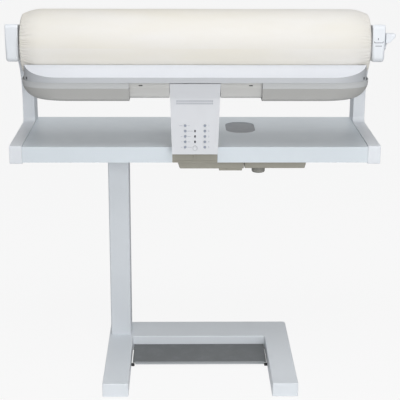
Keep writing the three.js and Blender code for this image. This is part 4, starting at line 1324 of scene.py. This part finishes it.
    def build_shells(self) -> None:
        """Shape the two outer shells and the middle one set back between them."""
        top = Box.of("feed_tray").low.z - 0.4 * MM
        for side in ("left", "right"):
            box = Box.of(f"shoe_cover_{side}")
            shape = self.shell_skin(0.0, box.low.z, top)
            if side == "left":
                self.keep_between(shape, box.low.x - 1.0, box.high.x)
            else:
                self.keep_between(shape, box.low.x, box.high.x + 1.0)
            piece = new_object(f"shoe_shell_{side}", shape)
            thicken(piece, self.wall)
            self.show(piece, Finishes.SHELL, [f"shoe_cover_{side}"])
            # Painted shade: the faces below the side band get the darker copy of the shell coat.
            second_finish(piece, Finishes.SHELL_PAINTED_SHADE,
                          lambda polygon: polygon.center.z < top - self.side_height)
        box = Box.of("shoe_cover_middle")
        shape = self.shell_skin(9 * MM, box.low.z, top)
        self.keep_between(shape, box.low.x, box.high.x)
        piece = new_object("shoe_shell_middle", shape)
        thicken(piece, self.wall)
        neck = Box.of("control_cover")
        carve(piece, slab((neck.low.x - 0.5 * MM, neck.low.y - 0.02, box.low.z - 0.03),
                          (neck.high.x + 0.5 * MM, neck.high.y, top + 0.02)))
        away, wide, tall = self.slot
        height = top - 9.2 * MM
        clips = []
        for x in (box.middle.x - away, box.middle.x + away):
            carve(piece, slab((x - wide / 2, box.low.y - 10 * MM, height - tall / 2),
                              (x + wide / 2, box.low.y + 20 * MM, height + tall / 2)))
            clips.append(slab((x - wide / 2, box.low.y + 1.6 * MM, height - tall / 2),
                              (x + wide / 2, box.low.y + 4.6 * MM, height + tall / 2), 0.3 * MM))
        self.show(piece, Finishes.MIDDLE, ["shoe_cover_middle"])
        self.show(new_object("shell_clips", merged(clips)), Finishes.RUBBER, slot="motor_paint")

    @staticmethod
    def keep_between(shape: Body, low: float, high: float) -> None:
        """Cut a skin off at two places along the roller."""
        for at, beyond in ((high, True), (low, False)):
            bmesh.ops.bisect_plane(
                shape, geom=shape.verts[:] + shape.edges[:] + shape.faces[:], plane_co=(at, 0, 0),
                plane_no=(1, 0, 0), clear_outer=beyond, clear_inner=not beyond)

    def build_plugs(self) -> None:
        """Close the tray's two ends with a small dark plug each."""
        tray = Box.of("feed_tray")
        plugs = []
        for side in (-1.0, 1.0):
            out, back = self.plug_spot
            spot = Vector((tray.middle.x + side * out, tray.low.y + back, tray.low.z + 7 * MM))
            plug = slab((-2 * MM, -2.8 * MM, -3.4 * MM), (0.5 * MM, 2.8 * MM, 3.4 * MM), 0.4 * MM)
            lean = math.radians(self.plug_lean[int(side > 0)])
            bmesh.ops.rotate(
                plug, verts=plug.verts[:], cent=(0, 0, 0), matrix=Matrix.Rotation(lean, 3, "Z"))
            bmesh.ops.translate(plug, verts=plug.verts[:], vec=spot)
            plugs.append(plug)
        self.show(new_object("tray_plugs", merged(plugs)), Finishes.RUBBER, slot="motor_paint")

    def build_plate(self) -> None:
        """Shape the heated plate that bends round the roller."""
        box = Box.of("shoe_plate")
        roller = Box.of("roller_cover").middle
        shape = bmesh.new()
        lead = math.radians(self.plate_start)
        start = Vector((0.0, -math.cos(lead), -math.sin(lead)))
        low = Vector((box.low.x, roller.y, roller.z))
        high = Vector((box.high.x, roller.y, roller.z))
        ring = [low + start * self.bore, high + start * self.bore,
                high + start * (self.bore + self.plate), low + start * (self.bore + self.plate)]
        face = shape.faces.new([shape.verts.new(spot) for spot in ring])
        bmesh.ops.spin(shape, geom=[face, *face.edges, *face.verts], cent=roller, axis=(1, 0, 0),
                       dvec=(0, 0, 0), angle=math.radians(self.plate_arc), steps=46, use_duplicate=False)
        bmesh.ops.holes_fill(shape, edges=[edge for edge in shape.edges if edge.is_boundary])
        bmesh.ops.recalc_face_normals(shape, faces=shape.faces[:])
        bevel_edges(shape, 0.8 * MM, 2, lambda edge: fold(edge) > 60)
        self.show(new_object("heated_plate", shape), Finishes.SHOE, ["shoe_plate"])


# ------------------------------------------------------------- control column
@dataclass
class ControlColumn(Assembly):
    """Neck and panel with keys, lamps, vents and their generic marks."""

    body: str = "shoe"
    bottom_half: float = 62 * MM
    top_half: float = 66.5 * MM
    neck_half: float = 67.8 * MM
    bend: float = 154 * MM
    panel_back: float = 17 * MM
    shelf: float = 40 * MM
    foot_deep: float = 33 * MM
    top_deep: float = 28 * MM
    vent_columns: int = 18
    vent_rows: Point = (138.0 * MM, 144.6 * MM)
    vent_start: float = 49.5 * MM
    vent_depth: float = 1.1 * MM

    def half_at(self, height: float) -> float:
        """Half the column's width at a height over its lower edge."""
        total = Box.of("control_cover").size.z
        if height < self.bend:
            return self.bottom_half + (self.top_half - self.bottom_half) * height / self.bend
        risen = (height - self.bend) / (total - self.bend)
        return self.top_half + (self.neck_half - self.top_half) * risen

    def build(self) -> None:
        """Shape the cover, then its keys and marks."""
        box = Box.of("control_cover")
        front = box.low.y + self.panel_back
        side = [
            Corner(front, box.low.z, 1.6 * MM), Corner(front + self.foot_deep, box.low.z, 1.0 * MM),
            Corner(front + self.foot_deep, box.low.z + self.shelf, 1.0 * MM),
            Corner(box.high.y, box.low.z + self.shelf, 2.0 * MM),
            Corner(box.high.y, box.low.z + self.bend - 1 * MM, 2.0 * MM),
            Corner(front + self.top_deep, box.low.z + self.bend - 1 * MM, 1.0 * MM),
            Corner(front + self.top_deep, box.high.z - 0.6 * MM, 1.0 * MM),
            Corner(box.low.y, box.high.z - 0.6 * MM, 1.0 * MM),
            Corner(front, box.low.z + self.bend, 20 * MM),
        ]
        shape = prism(side, Axis.X, -1.0, 1.0, step=4.0)
        for vert in shape.verts:
            vert.co.x = box.middle.x + math.copysign(self.half_at(vert.co.z - box.low.z), vert.co.x)

        def front_rim(edge: Edge) -> bool:
            """Whether an edge runs round the front of one of the two sides."""
            first, second = (vert.co for vert in edge.verts)
            across = abs(first.y - second.y) + abs(first.z - second.z) > FLUSH
            return fold(edge) > 70 and across and first.y < front + 20 * MM

        bevel_edges(shape, 1.6 * MM, 4, front_rim)
        piece = new_object("control_housing", shape)
        self.hollow(piece, box, front)
        self.holes(piece, box, front)
        self.show(piece, Finishes.PANEL, ["control_cover"])
        second_finish(piece, Finishes.VENT, lambda polygon: abs(
            polygon.center.y - front - self.vent_depth) < 0.05 * MM)
        self.keys(front)
        self.marks(front)

    def hollow(self, piece: Piece, box: Box, front: float) -> None:
        """Open the housing behind its front wall.

        Args:
            piece: The housing.
            box: The CAD cover's box.
            front: The panel's Y.
        """
        wall = 2.6 * MM
        inside = self.bottom_half - wall
        carve(piece, slab((box.middle.x - inside, front + wall, box.low.z - PAST),
                          (box.middle.x + inside, front + 0.05, box.low.z + self.shelf + 2 * MM)))
        carve(piece, slab((box.middle.x - inside, front + wall, box.low.z + self.shelf - 3 * MM),
                          (box.middle.x + inside, box.high.y - wall, box.low.z + self.bend - 4 * MM)))
        carve(piece, slab((box.middle.x - inside + 2 * MM, front + 9 * MM, box.low.z + self.bend - 8 * MM),
                          (box.middle.x + inside - 2 * MM, box.high.y - wall, box.high.z + PAST)))

    def holes(self, piece: Piece, box: Box, front: float) -> None:
        """Cut the vents, key holes and lamp windows through the front wall.

        Args:
            piece: The housing.
            box: The CAD cover's box.
            front: The panel's Y.
        """
        tools = []
        pitch, slot_wide, slot_tall = 5.5 * MM, 3.1 * MM, 4.7 * MM
        for column in range(self.vent_columns):
            x = box.middle.x - self.vent_start + column * pitch
            for row in self.vent_rows:
                tools.append(slab((x, front - 1 * MM, box.low.z + row),
                                  (x + slot_wide, front + self.vent_depth, box.low.z + row + slot_tall)))
        for key in self.key_names():
            spot = Box.of(key).middle
            tools.append(disc(Axis.Y, Vector((spot.x, front, spot.z)), 3.9 * MM, 12 * MM, steps=28))
        button = Box.of("power_button").middle
        tools.append(disc(Axis.Y, Vector((button.x, front, button.z)), 7.0 * MM, 12 * MM, steps=48))
        for spot in self.lamp_spots():
            tools.append(slab((spot.x - 2.3 * MM, front - 1 * MM, spot.z - 3.4 * MM),
                              (spot.x + 2.3 * MM, front + 6 * MM, spot.z + 3.4 * MM), 1.2 * MM))
        carve(piece, merged(tools))

    @staticmethod
    def key_names() -> list[str]:
        """The ten keys' node names."""
        return [f"key_{side}_{index}" for side in ("left", "right") for index in range(1, 6)]

    @staticmethod
    def lamp_spots() -> list[Vector]:
        """Middle of each of the three lamps, level with keys two to four."""
        x = Box.of("power_button").middle.x
        return [Vector((x, 0.0, Box.of(f"key_left_{index}").middle.z)) for index in (2, 3, 4)]

    def keys(self, front: float) -> None:
        """Shape the keys, the power button and the lamp windows.

        Args:
            front: The panel's Y.
        """
        for name in self.key_names():
            box = Box.of(name)
            spot = box.middle
            back = box.high.y - front
            profile = [(-0.55 * MM, 0.0), (-0.6 * MM, 1.4 * MM), (-0.9 * MM, 2.6 * MM),
                       (-0.75 * MM, 3.2 * MM), (-0.2 * MM, 3.45 * MM), (back - 1.2 * MM, 3.45 * MM),
                       (back - 1.2 * MM, 4.4 * MM), (back, 4.4 * MM), (back, 0.0)]
            piece = new_object(f"{name}_cap", turning(profile, Axis.Y, Vector((spot.x, front, spot.z)), 32))
            self.show(piece, Finishes.KEY, [name], body=name)
        box = Box.of("power_button")
        back = box.high.y - front
        profile = [(0.3 * MM, 0.0), (-0.1 * MM, 3.5 * MM), (-0.9 * MM, 5.6 * MM), (-0.6 * MM, 6.0 * MM),
                   (0.2 * MM, 6.15 * MM), (back - 1.2 * MM, 6.15 * MM), (back - 1.2 * MM, 7.1 * MM),
                   (back, 7.1 * MM), (back, 0.0)]
        button = turning(profile, Axis.Y, Vector((box.middle.x, front, box.middle.z)), 48)
        self.show(new_object("power_cap", button), Finishes.PANEL, ["power_button"], body="power_button")
        windows = [slab((spot.x - 1.9 * MM, front - 0.25 * MM, spot.z - 3 * MM),
                        (spot.x + 1.9 * MM, front + 4 * MM, spot.z + 3 * MM), 1.0 * MM)
                   for spot in self.lamp_spots()]
        guide = Box.of("indicator_lens")
        windows.append(slab((guide.low.x, front + 3.2 * MM, guide.low.z), guide.high, 0.4 * MM))
        self.show(new_object("lamp_windows", merged(windows)), Finishes.LENS, ["indicator_lens"])

    def marks(self, front: float) -> None:
        """Print generic marks beside the keys: bars on the left, plain numbers on the right.

        Args:
            front: The panel's Y.
        """
        bars = []
        lengths = ((9.0, 7.0), (0.0, 16.0), (5.0, 9.0), (3.2, 8.0), (4.5, 13.0))
        for index, (left, right) in enumerate(lengths, start=1):
            spot = Box.of(f"key_left_{index}").middle
            for wide, start in ((left, spot.x - 7 * MM - left * MM), (right, spot.x + 6 * MM)):
                if wide:
                    bars.append(slab((start, front - 0.05 * MM, spot.z - 0.45 * MM),
                                     (start + wide * MM, front + 0.3 * MM, spot.z + 0.45 * MM)))
        self.show(new_object("bar_marks", merged(bars)), Finishes.FINE_PRINT, slot="key_plastic")
        numbers = []
        for index in range(1, 6):
            spot = Box.of(f"key_right_{index}").middle
            text = bpy.data.curves.new("number", "FONT")
            text.body = str(index)
            text.size = 6.2 * MM
            text.extrude = 0.15 * MM
            text.align_x = "CENTER"
            text.align_y = "CENTER"
            holder = bpy.data.objects.new("number", text)
            bpy.context.scene.collection.objects.link(holder)
            bpy.context.view_layer.update()
            graph = bpy.context.evaluated_depsgraph_get()
            mesh = bpy.data.meshes.new_from_object(holder.evaluated_get(graph))
            bpy.data.objects.remove(holder)
            mesh.transform(Matrix.Translation((spot.x + 10.5 * MM, front + 0.05 * MM, spot.z))
                           @ Matrix.Rotation(math.pi / 2, 4, "X"))
            shape = bmesh.new()
            shape.from_mesh(mesh)
            bmesh.ops.remove_doubles(shape, verts=shape.verts[:], dist=1e-6)
            bpy.data.meshes.remove(mesh)
            numbers.append(shape)
        piece = new_object("key_numbers", merged(numbers))
        self.show(piece, Finishes.PRINT, slot="key_plastic")


# ---------------------------------------------------------------- under table
@dataclass
class UnderTable(Assembly):
    """The beige parts that hang below the table, and the sleeve in its notch."""

    def build(self) -> None:
        """Shape the boxes, the drain knob and the sleeve."""
        self.build_boxes()
        self.build_knob()
        self.build_sleeve()

    def tray(self, low: Sequence[float], high: Sequence[float], draft: Point) -> Body:
        """Make an open-topped moulded tray with drafted ends.

        Args:
            low: Lowest corner.
            high: Highest corner.
            draft: How far each end leans in at the floor.

        Returns:
            The tray's skin.
        """
        shape = prism([Corner(low[0] + draft[0], low[2]), Corner(high[0] - draft[1], low[2]),
                       Corner(high[0], high[2]), Corner(low[0], high[2])], Axis.Y, low[1], high[1])
        lids = [face for face in shape.faces if face.normal.z > 0.9]
        bmesh.ops.delete(shape, geom=lids, context="FACES_ONLY")
        bevel_edges(shape, 2.8 * MM, 4, lambda edge: not edge.is_boundary)
        return shape

    def build_boxes(self) -> None:
        """Shape the electronics box and the water tank."""
        box = Box.of("electronics_box")
        floor = box.low.z + 6 * MM
        case = new_object("electronics_case", self.tray(
            (box.low.x, box.low.y, floor), box.high - Vector((0, 0, 0.7 * MM)), (7 * MM, 0.4 * MM)))
        thicken(case, 2 * MM)
        outline = rectangle((box.low.x + 116 * MM, box.low.z),
                            (box.low.x + 180 * MM, floor + 1 * MM), 1.5 * MM)
        bump = prism(outline, Axis.Y, box.low.y + 2 * MM, box.low.y + 36 * MM, rim=1.5 * MM)
        carve(case, bump, "UNION")
        gland = Vector((box.low.x + 90 * MM, box.high.y - 6 * MM, floor + 12 * MM))
        carve(case, disc(Axis.Y, gland, 8 * MM, 11.8 * MM, 1 * MM, 32), "UNION")
        carve(case, disc(Axis.Y, gland, 4.5 * MM, 40 * MM, steps=32))
        self.show(case, Finishes.BEIGE, ["electronics_box"])
        box = Box.of("water_tank")
        seam = Box.of("electronics_box").high.x + 1 * MM
        case = new_object("tank_case", self.tray(
            (seam, box.low.y, box.low.z), (box.high.x, box.high.y, box.high.z - 12.6 * MM),
            (0.4 * MM, 6 * MM)))
        thicken(case, 2 * MM)
        back = Box.of("cross_beam").high.y + 3 * MM
        upper = slab((box.low.x, back, box.high.z - 14 * MM), box.high, 1.5 * MM)
        carve(case, upper, "UNION")
        self.show(case, Finishes.BEIGE, ["water_tank"])

    def build_knob(self) -> None:
        """Shape the drain knob with its fluted skirt."""
        box = Box.of("drain_knob")
        centre = box.middle
        radius = box.size.x / 2
        half = box.size.z / 2
        profile = [(-half, 0.0), (-half, radius - 4 * MM), (-half + 1.0 * MM, radius - 1.8 * MM),
                   (-half + 3 * MM, radius - 0.6 * MM), (half - 2.5 * MM, radius - 0.2 * MM),
                   (half - 1.2 * MM, radius - 1.4 * MM), (half, radius - 1.6 * MM), (half, 0.0)]
        shape = turning(profile, Axis.Z, centre, 120)
        for vert in shape.verts:
            spot = vert.co - centre
            reach = math.hypot(spot.x, spot.y)
            if reach > radius - 1 * MM:
                flute = 0.5 - 0.5 * math.cos(24 * math.atan2(spot.y, spot.x))
                vert.co -= Vector((spot.x, spot.y, 0)) / reach * 0.55 * MM * flute
        grip = slab((centre.x - 1.6 * MM, centre.y - radius + 6 * MM, box.low.z),
                    (centre.x + 1.6 * MM, centre.y + radius - 6 * MM, box.low.z + 2 * MM), 0.7 * MM)
        piece = new_object("drain_cap", merged([shape, grip]), 50.0)
        self.show(piece, Finishes.KNOB, ["drain_knob"], body="drain_knob")

    def build_sleeve(self) -> None:
        """Shape the beige sleeve with its front plate and pointer."""
        box = Box.of("lift_sleeve")
        front = box.low.y + 2.4 * MM
        x = box.middle.x
        tube = prism(rectangle((x - 56 * MM, front + 3.6 * MM), (x + 56 * MM, box.high.y), 4 * MM),
                     Axis.Z, box.low.z + 8.3 * MM, box.high.z)
        piece = new_object("sleeve_case", tube)
        carve(piece, slab((x - 54 * MM, front + 5.6 * MM, box.low.z),
                          (x + 54 * MM, box.high.y - 2 * MM, box.high.z + PAST)))
        plate_top = Box.of("table_top").high.z - 2 * MM
        face = slab((box.low.x, front, box.low.z), (box.high.x, front + 2.2 * MM, plate_top), 0.6 * MM)
        carve(piece, face, "UNION")
        low = box.low.z
        shelf = slab((box.low.x + 1 * MM, front - 1.8 * MM, low),
                     (box.high.x - 1 * MM, front + 1 * MM, low + 5 * MM), 0.9 * MM)
        rib = slab((x - 40 * MM, front + 1 * MM, low + 20 * MM),
                   (x + 40 * MM, front + 5 * MM, low + 38 * MM))
        arrow = [Corner(x - 6 * MM, low + 7 * MM, 0.8 * MM), Corner(x + 6 * MM, low + 7 * MM, 0.8 * MM),
                 Corner(x, low + 27 * MM, 1.2 * MM)]
        pointer = prism(arrow, Axis.Y, box.low.y, front + 1 * MM, rim=0.5 * MM)
        for part in (shelf, rib, pointer):
            carve(piece, part, "UNION")
        self.show(piece, Finishes.BEIGE, ["lift_sleeve"])


# ------------------------------------------------------------ column and foot
@dataclass
class Stand(Assembly):
    """The column, the U-shaped foot, its glides and the treadle."""

    wall: float = 2.5 * MM

    def build(self) -> None:
        """Shape column, foot and treadle."""
        self.build_column()
        self.build_base()
        self.build_glides()
        self.build_pedal()

    def build_column(self) -> None:
        """Shape the column with its welded head plate and bolts."""
        box = Box.of("column")
        x, y = box.middle.x, box.low.y + 8 * MM
        foot = Box.of("base_frame").high.z + 0.2 * MM
        plate_low = box.high.z - 5.8 * MM
        outline = rectangle((x - 29.5 * MM, y), (x + 29.5 * MM, y + 71 * MM), 4 * MM)
        tube = new_object("column_tube", prism(outline, Axis.Z, foot, plate_low + 1 * MM))
        carve(tube, prism(rectangle((x - 27 * MM, y + 2.5 * MM), (x + 27 * MM, y + 68.5 * MM), 2 * MM),
                          Axis.Z, foot - PAST, plate_low - 1 * MM))
        carve(tube, slab((box.low.x, box.low.y, plate_low), box.high, 0.8 * MM), "UNION")
        for dx in (-46 * MM, 46 * MM):
            for dy in (14 * MM, 57 * MM):
                spot = Vector((x + dx, y + dy, plate_low - 1.5 * MM))
                bolt = disc(Axis.Z, spot, 6.5 * MM, 5 * MM, 0.6 * MM, 6)
                carve(tube, bolt, "UNION")
        self.show(tube, Finishes.FRAME, ["column"])

    def build_base(self) -> None:
        """Shape the U-shaped channel, open underneath."""
        box = Box.of("base_frame")
        leg = 69.5 * MM
        cross_front = box.high.y - 110 * MM
        corners = [
            Corner(box.low.x, box.low.y, 3 * MM), Corner(box.low.x + leg, box.low.y, 3 * MM),
            Corner(box.low.x + leg, cross_front, 3 * MM), Corner(box.high.x - leg, cross_front, 3 * MM),
            Corner(box.high.x - leg, box.low.y, 3 * MM), Corner(box.high.x, box.low.y, 3 * MM),
            Corner(box.high.x, box.high.y, 8 * MM), Corner(box.low.x, box.high.y, 8 * MM),
        ]
        shape = prism(corners, Axis.Z, box.low.z, box.high.z, step=10.0)
        bevel_edges(shape, 2.6 * MM, 4, lambda edge: fold(edge) > 60 and all(
            vert.co.z > box.high.z - FLUSH for vert in edge.verts))
        lowest = [face for face in shape.faces if face.normal.z < -0.9]
        bmesh.ops.delete(shape, geom=lowest, context="FACES_ONLY")
        piece = new_object("foot_channel", shape)
        thicken(piece, self.wall)
        # The foot wears the lighter copy of the frame coat, which is painted light.
        self.show(piece, Finishes.FOOT_PAINTED_LIGHT, ["base_frame"])

    def build_glides(self) -> None:
        """Shape the four floor glides on their studs."""
        for place in ("front_left", "front_right", "rear_left", "rear_right"):
            box = Box.of(f"floor_glide_{place}")
            spot = Vector((box.middle.x, box.middle.y, 0.0))
            profile = [(0.0, 0.0), (0.0, 15 * MM), (0.8 * MM, 16.8 * MM), (3.2 * MM, 16.8 * MM),
                       (4.5 * MM, 15 * MM), (5.2 * MM, 6 * MM), (box.high.z, 6 * MM), (box.high.z, 0.0)]
            piece = new_object(f"glide_{place}", turning(profile, Axis.Z, spot, 40))
            self.show(piece, Finishes.RUBBER, [f"floor_glide_{place}"])

    def build_pedal(self) -> None:
        """Shape the ribbed treadle and its folded front lip."""
        box = Box.of("foot_pedal")
        axle = Box.of("pedal_axle").middle
        skin = 2 * MM
        front, top = box.low.y, box.high.z
        deck = slab((box.low.x, front, top - skin), (box.high.x, box.high.y, top - 0.6 * MM), 0.4 * MM)
        rib, pitch = 1.7 * MM, 3.1 * MM
        count = int((box.size.y - 4 * MM) / pitch)
        parts = [deck]
        for index in range(count):
            y = front + 3.5 * MM + index * pitch
            parts.append(slab((box.low.x + 1.5 * MM, y, top - 1.0 * MM),
                              (box.high.x - 1.5 * MM, y + rib, top), 0.35 * MM, 1))
        ear = [Corner(axle.y - 18 * MM, top - skin), Corner(axle.y - 9 * MM, axle.z - 4 * MM, 2 * MM),
               Corner(axle.y + 8 * MM, axle.z - 4.5 * MM, 4 * MM), Corner(axle.y + 9 * MM, top - skin)]
        for x in (box.low.x, box.high.x - 3 * MM):
            parts.append(prism(ear, Axis.X, x, x + 3 * MM, rim=0.4 * MM))
        piece = new_object("treadle_deck", merged(parts))
        self.show(piece, Finishes.TREAD, ["foot_pedal"], body="foot_pedal")
        hem = [Corner(front, top - 7 * MM, 0.5 * MM), Corner(front + 1.8 * MM, top - 7 * MM, 0.5 * MM),
               Corner(front + 1.8 * MM, top - 0.9 * MM), Corner(front + 3.2 * MM, top - 0.5 * MM),
               Corner(front + 3.0 * MM, top, 0.5 * MM), Corner(front, top, 1.5 * MM)]
        lip = prism(hem, Axis.X, box.low.x + 7 * MM, box.high.x - 7 * MM, rim=0.4 * MM)
        self.show(new_object("treadle_lip", lip), Finishes.TREAD_LIP, body="foot_pedal", slot="pedal_paint")
        for side in ("left", "right"):
            stop = Box.of(f"pedal_stop_{side}")
            piece = new_object(f"treadle_stop_{side}", slab(stop.low, stop.high, 1.4 * MM, 3))
            self.show(piece, Finishes.RUBBER, [f"pedal_stop_{side}"])


# ------------------------------------------------------------- carried pieces
class CarriedPieces:
    """CAD nodes that stay as they are and only get their finish."""

    FINISHES = {
        "cross_beam": Finishes.FRAME, "lift_seat": Finishes.FRAME,
        "roller_padding": Finishes.FELT, "roller_drum": Finishes.ALUMINIUM,
        "drum_cap_left": Finishes.ALUMINIUM, "drum_cap_right": Finishes.ALUMINIUM,
        "ring_gear": Finishes.BRASS, "drive_pinion": Finishes.BRASS,
        "lift_rack": Finishes.BRASS, "lift_pinion": Finishes.BRASS,
        "roller_motor": Finishes.ALUMINIUM, "lift_motor": Finishes.MOTOR,
        "bearing_left": Finishes.STEEL, "bearing_right": Finishes.STEEL,
        "guide_rod_left": Finishes.STEEL, "guide_rod_right": Finishes.STEEL,
        "shoe_carriage": Finishes.STEEL, "heating_element": Finishes.STEEL,
        "pedal_axle": Finishes.STEEL, "pedal_spring": Finishes.STEEL,
        "control_board": Finishes.BOARD,
    }

    def dress(self, nodes: dict[str, Piece]) -> None:
        """Give each carried node its finish.

        Args:
            nodes: The frame's nodes by name.
        """
        for name, finish in self.FINISHES.items():
            mesh = nodes[name].data
            mesh.materials.clear()
            mesh.materials.append(finish.material())
            LOG.info("%s keeps its solid", name)


# --------------------------------------------------------------------- studio
@dataclass
class Studio:
    """Camera, floor and soft light."""

    eye: Vector = field(default_factory=lambda: Vector((-49.74, -3110.84, 1402.04)) * MM)
    pitch: float = 16.79
    yaw: float = 0.93
    roll: float = 0.22
    focal_pixels: float = 1146.41
    backdrop: tuple[float, float, float] = srgb(247, 247, 247)

    def build(self) -> None:
        """Set up camera, floor, world and lamps."""
        self.build_camera()
        self.build_floor()
        self.build_world()
        self.build_lamps()
        bpy.context.scene.view_settings.view_transform = "Standard"

    def build_camera(self) -> None:
        """Stand the camera where the photograph was taken from."""
        pitch, yaw, roll = (math.radians(angle) for angle in (self.pitch, self.yaw, self.roll))
        ahead = Vector((math.sin(yaw) * math.cos(pitch), math.cos(yaw) * math.cos(pitch), -math.sin(pitch)))
        level = Vector((math.cos(yaw), -math.sin(yaw), 0.0))
        upright = level.cross(ahead)
        right = level * math.cos(roll) + upright * math.sin(roll)
        up = upright * math.cos(roll) - level * math.sin(roll)
        data = bpy.data.cameras.new("camera")
        data.sensor_width = SENSOR
        data.lens = self.focal_pixels / PHOTO_SIDE * SENSOR
        data.clip_end = 200.0
        camera = bpy.data.objects.new("camera", data)
        turn = Matrix((right, up, -ahead)).transposed().to_4x4()
        camera.matrix_world = Matrix.Translation(self.eye) @ turn
        bpy.context.scene.collection.objects.link(camera)
        bpy.context.scene.camera = camera

    def build_floor(self) -> None:
        """Lay a wide pale floor that keeps a faint shadow."""
        shape = bmesh.new()
        bmesh.ops.create_grid(shape, x_segments=1, y_segments=1, size=60.0)
        floor = new_object("floor", shape)
        graph = Graph("pale_floor")
        graph.shader.inputs["Base Color"].default_value = (*shade(self.backdrop, 0.9), 1.0)
        graph.shader.inputs["Roughness"].default_value = 0.9
        graph.shader.inputs["Specular IOR Level"].default_value = 0.0
        glow = graph.node("Emission", Color=(*self.backdrop, 1.0), Strength=1.04)
        path = graph.node("LightPath")
        seen = graph.node("Math", operation="MULTIPLY")
        seen.inputs[1].default_value = 0.93
        graph.link(path.outputs["Is Camera Ray"], seen.inputs[0])
        blend = graph.node("MixShader")
        graph.link(seen.outputs[0], blend.inputs[0])
        graph.link(graph.shader.outputs[0], blend.inputs[1])
        graph.link(glow.outputs[0], blend.inputs[2])
        graph.link(blend.outputs[0], graph.tree.nodes["Material Output"].inputs["Surface"])
        floor.data.materials.append(graph.material)

    def build_world(self) -> None:
        """Light the scene softly from all round and show the backdrop's colour."""
        world = bpy.data.worlds.new("studio")
        world.use_nodes = True
        tree = world.node_tree
        light = tree.nodes["Background"]
        light.inputs["Color"].default_value = (0.97, 0.985, 1.0, 1.0)
        light.inputs["Strength"].default_value = 0.3
        seen = tree.nodes.new("ShaderNodeBackground")
        seen.inputs["Color"].default_value = (*self.backdrop, 1.0)
        path = tree.nodes.new("ShaderNodeLightPath")
        either = tree.nodes.new("ShaderNodeMath")
        either.operation = "MAXIMUM"
        tree.links.new(path.outputs["Is Camera Ray"], either.inputs[0])
        tree.links.new(path.outputs["Is Glossy Ray"], either.inputs[1])
        blend = tree.nodes.new("ShaderNodeMixShader")
        tree.links.new(either.outputs[0], blend.inputs[0])
        tree.links.new(light.outputs[0], blend.inputs[1])
        tree.links.new(seen.outputs[0], blend.inputs[2])
        tree.links.new(blend.outputs[0], tree.nodes["World Output"].inputs["Surface"])
        bpy.context.scene.world = world

    def build_lamps(self) -> None:
        """Hang one wide lamp overhead and two in front, one of them low."""
        for name, place, aim, side, power in (
                ("overhead", (0.0, -0.6, 2.6), (0.0, 0.0, 0.4), 1.4, 19.0),
                ("front", (0.7, -4.2, 1.6), (0.0, 0.0, 0.45), 3.0, 80.0),
                ("low", (0.4, -3.8, 0.3), (0.0, 0.0, 0.25), 1.6, 20.0)):
            data = bpy.data.lights.new(name, "AREA")
            data.size = side
            data.energy = power
            lamp = bpy.data.objects.new(name, data)
            lamp.location = place
            lamp.rotation_euler = (Vector(aim) - Vector(place)).to_track_quat("-Z", "Y").to_euler()
            bpy.context.scene.collection.objects.link(lamp)


def main() -> None:
    """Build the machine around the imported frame."""
    logging.basicConfig(level=logging.INFO, format="%(name)s %(message)s")
    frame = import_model()
    Studio().build()
    CarriedPieces().dress(frame["nodes"])
    Roller().build()
    SideArm(side="left").build()
    SideArm(side="right").build()
    HandLever().build()
    Table().build()
    Shoe().build()
    ControlColumn().build()
    UnderTable().build()
    Stand().build()


if __name__ == "__main__":
    main()
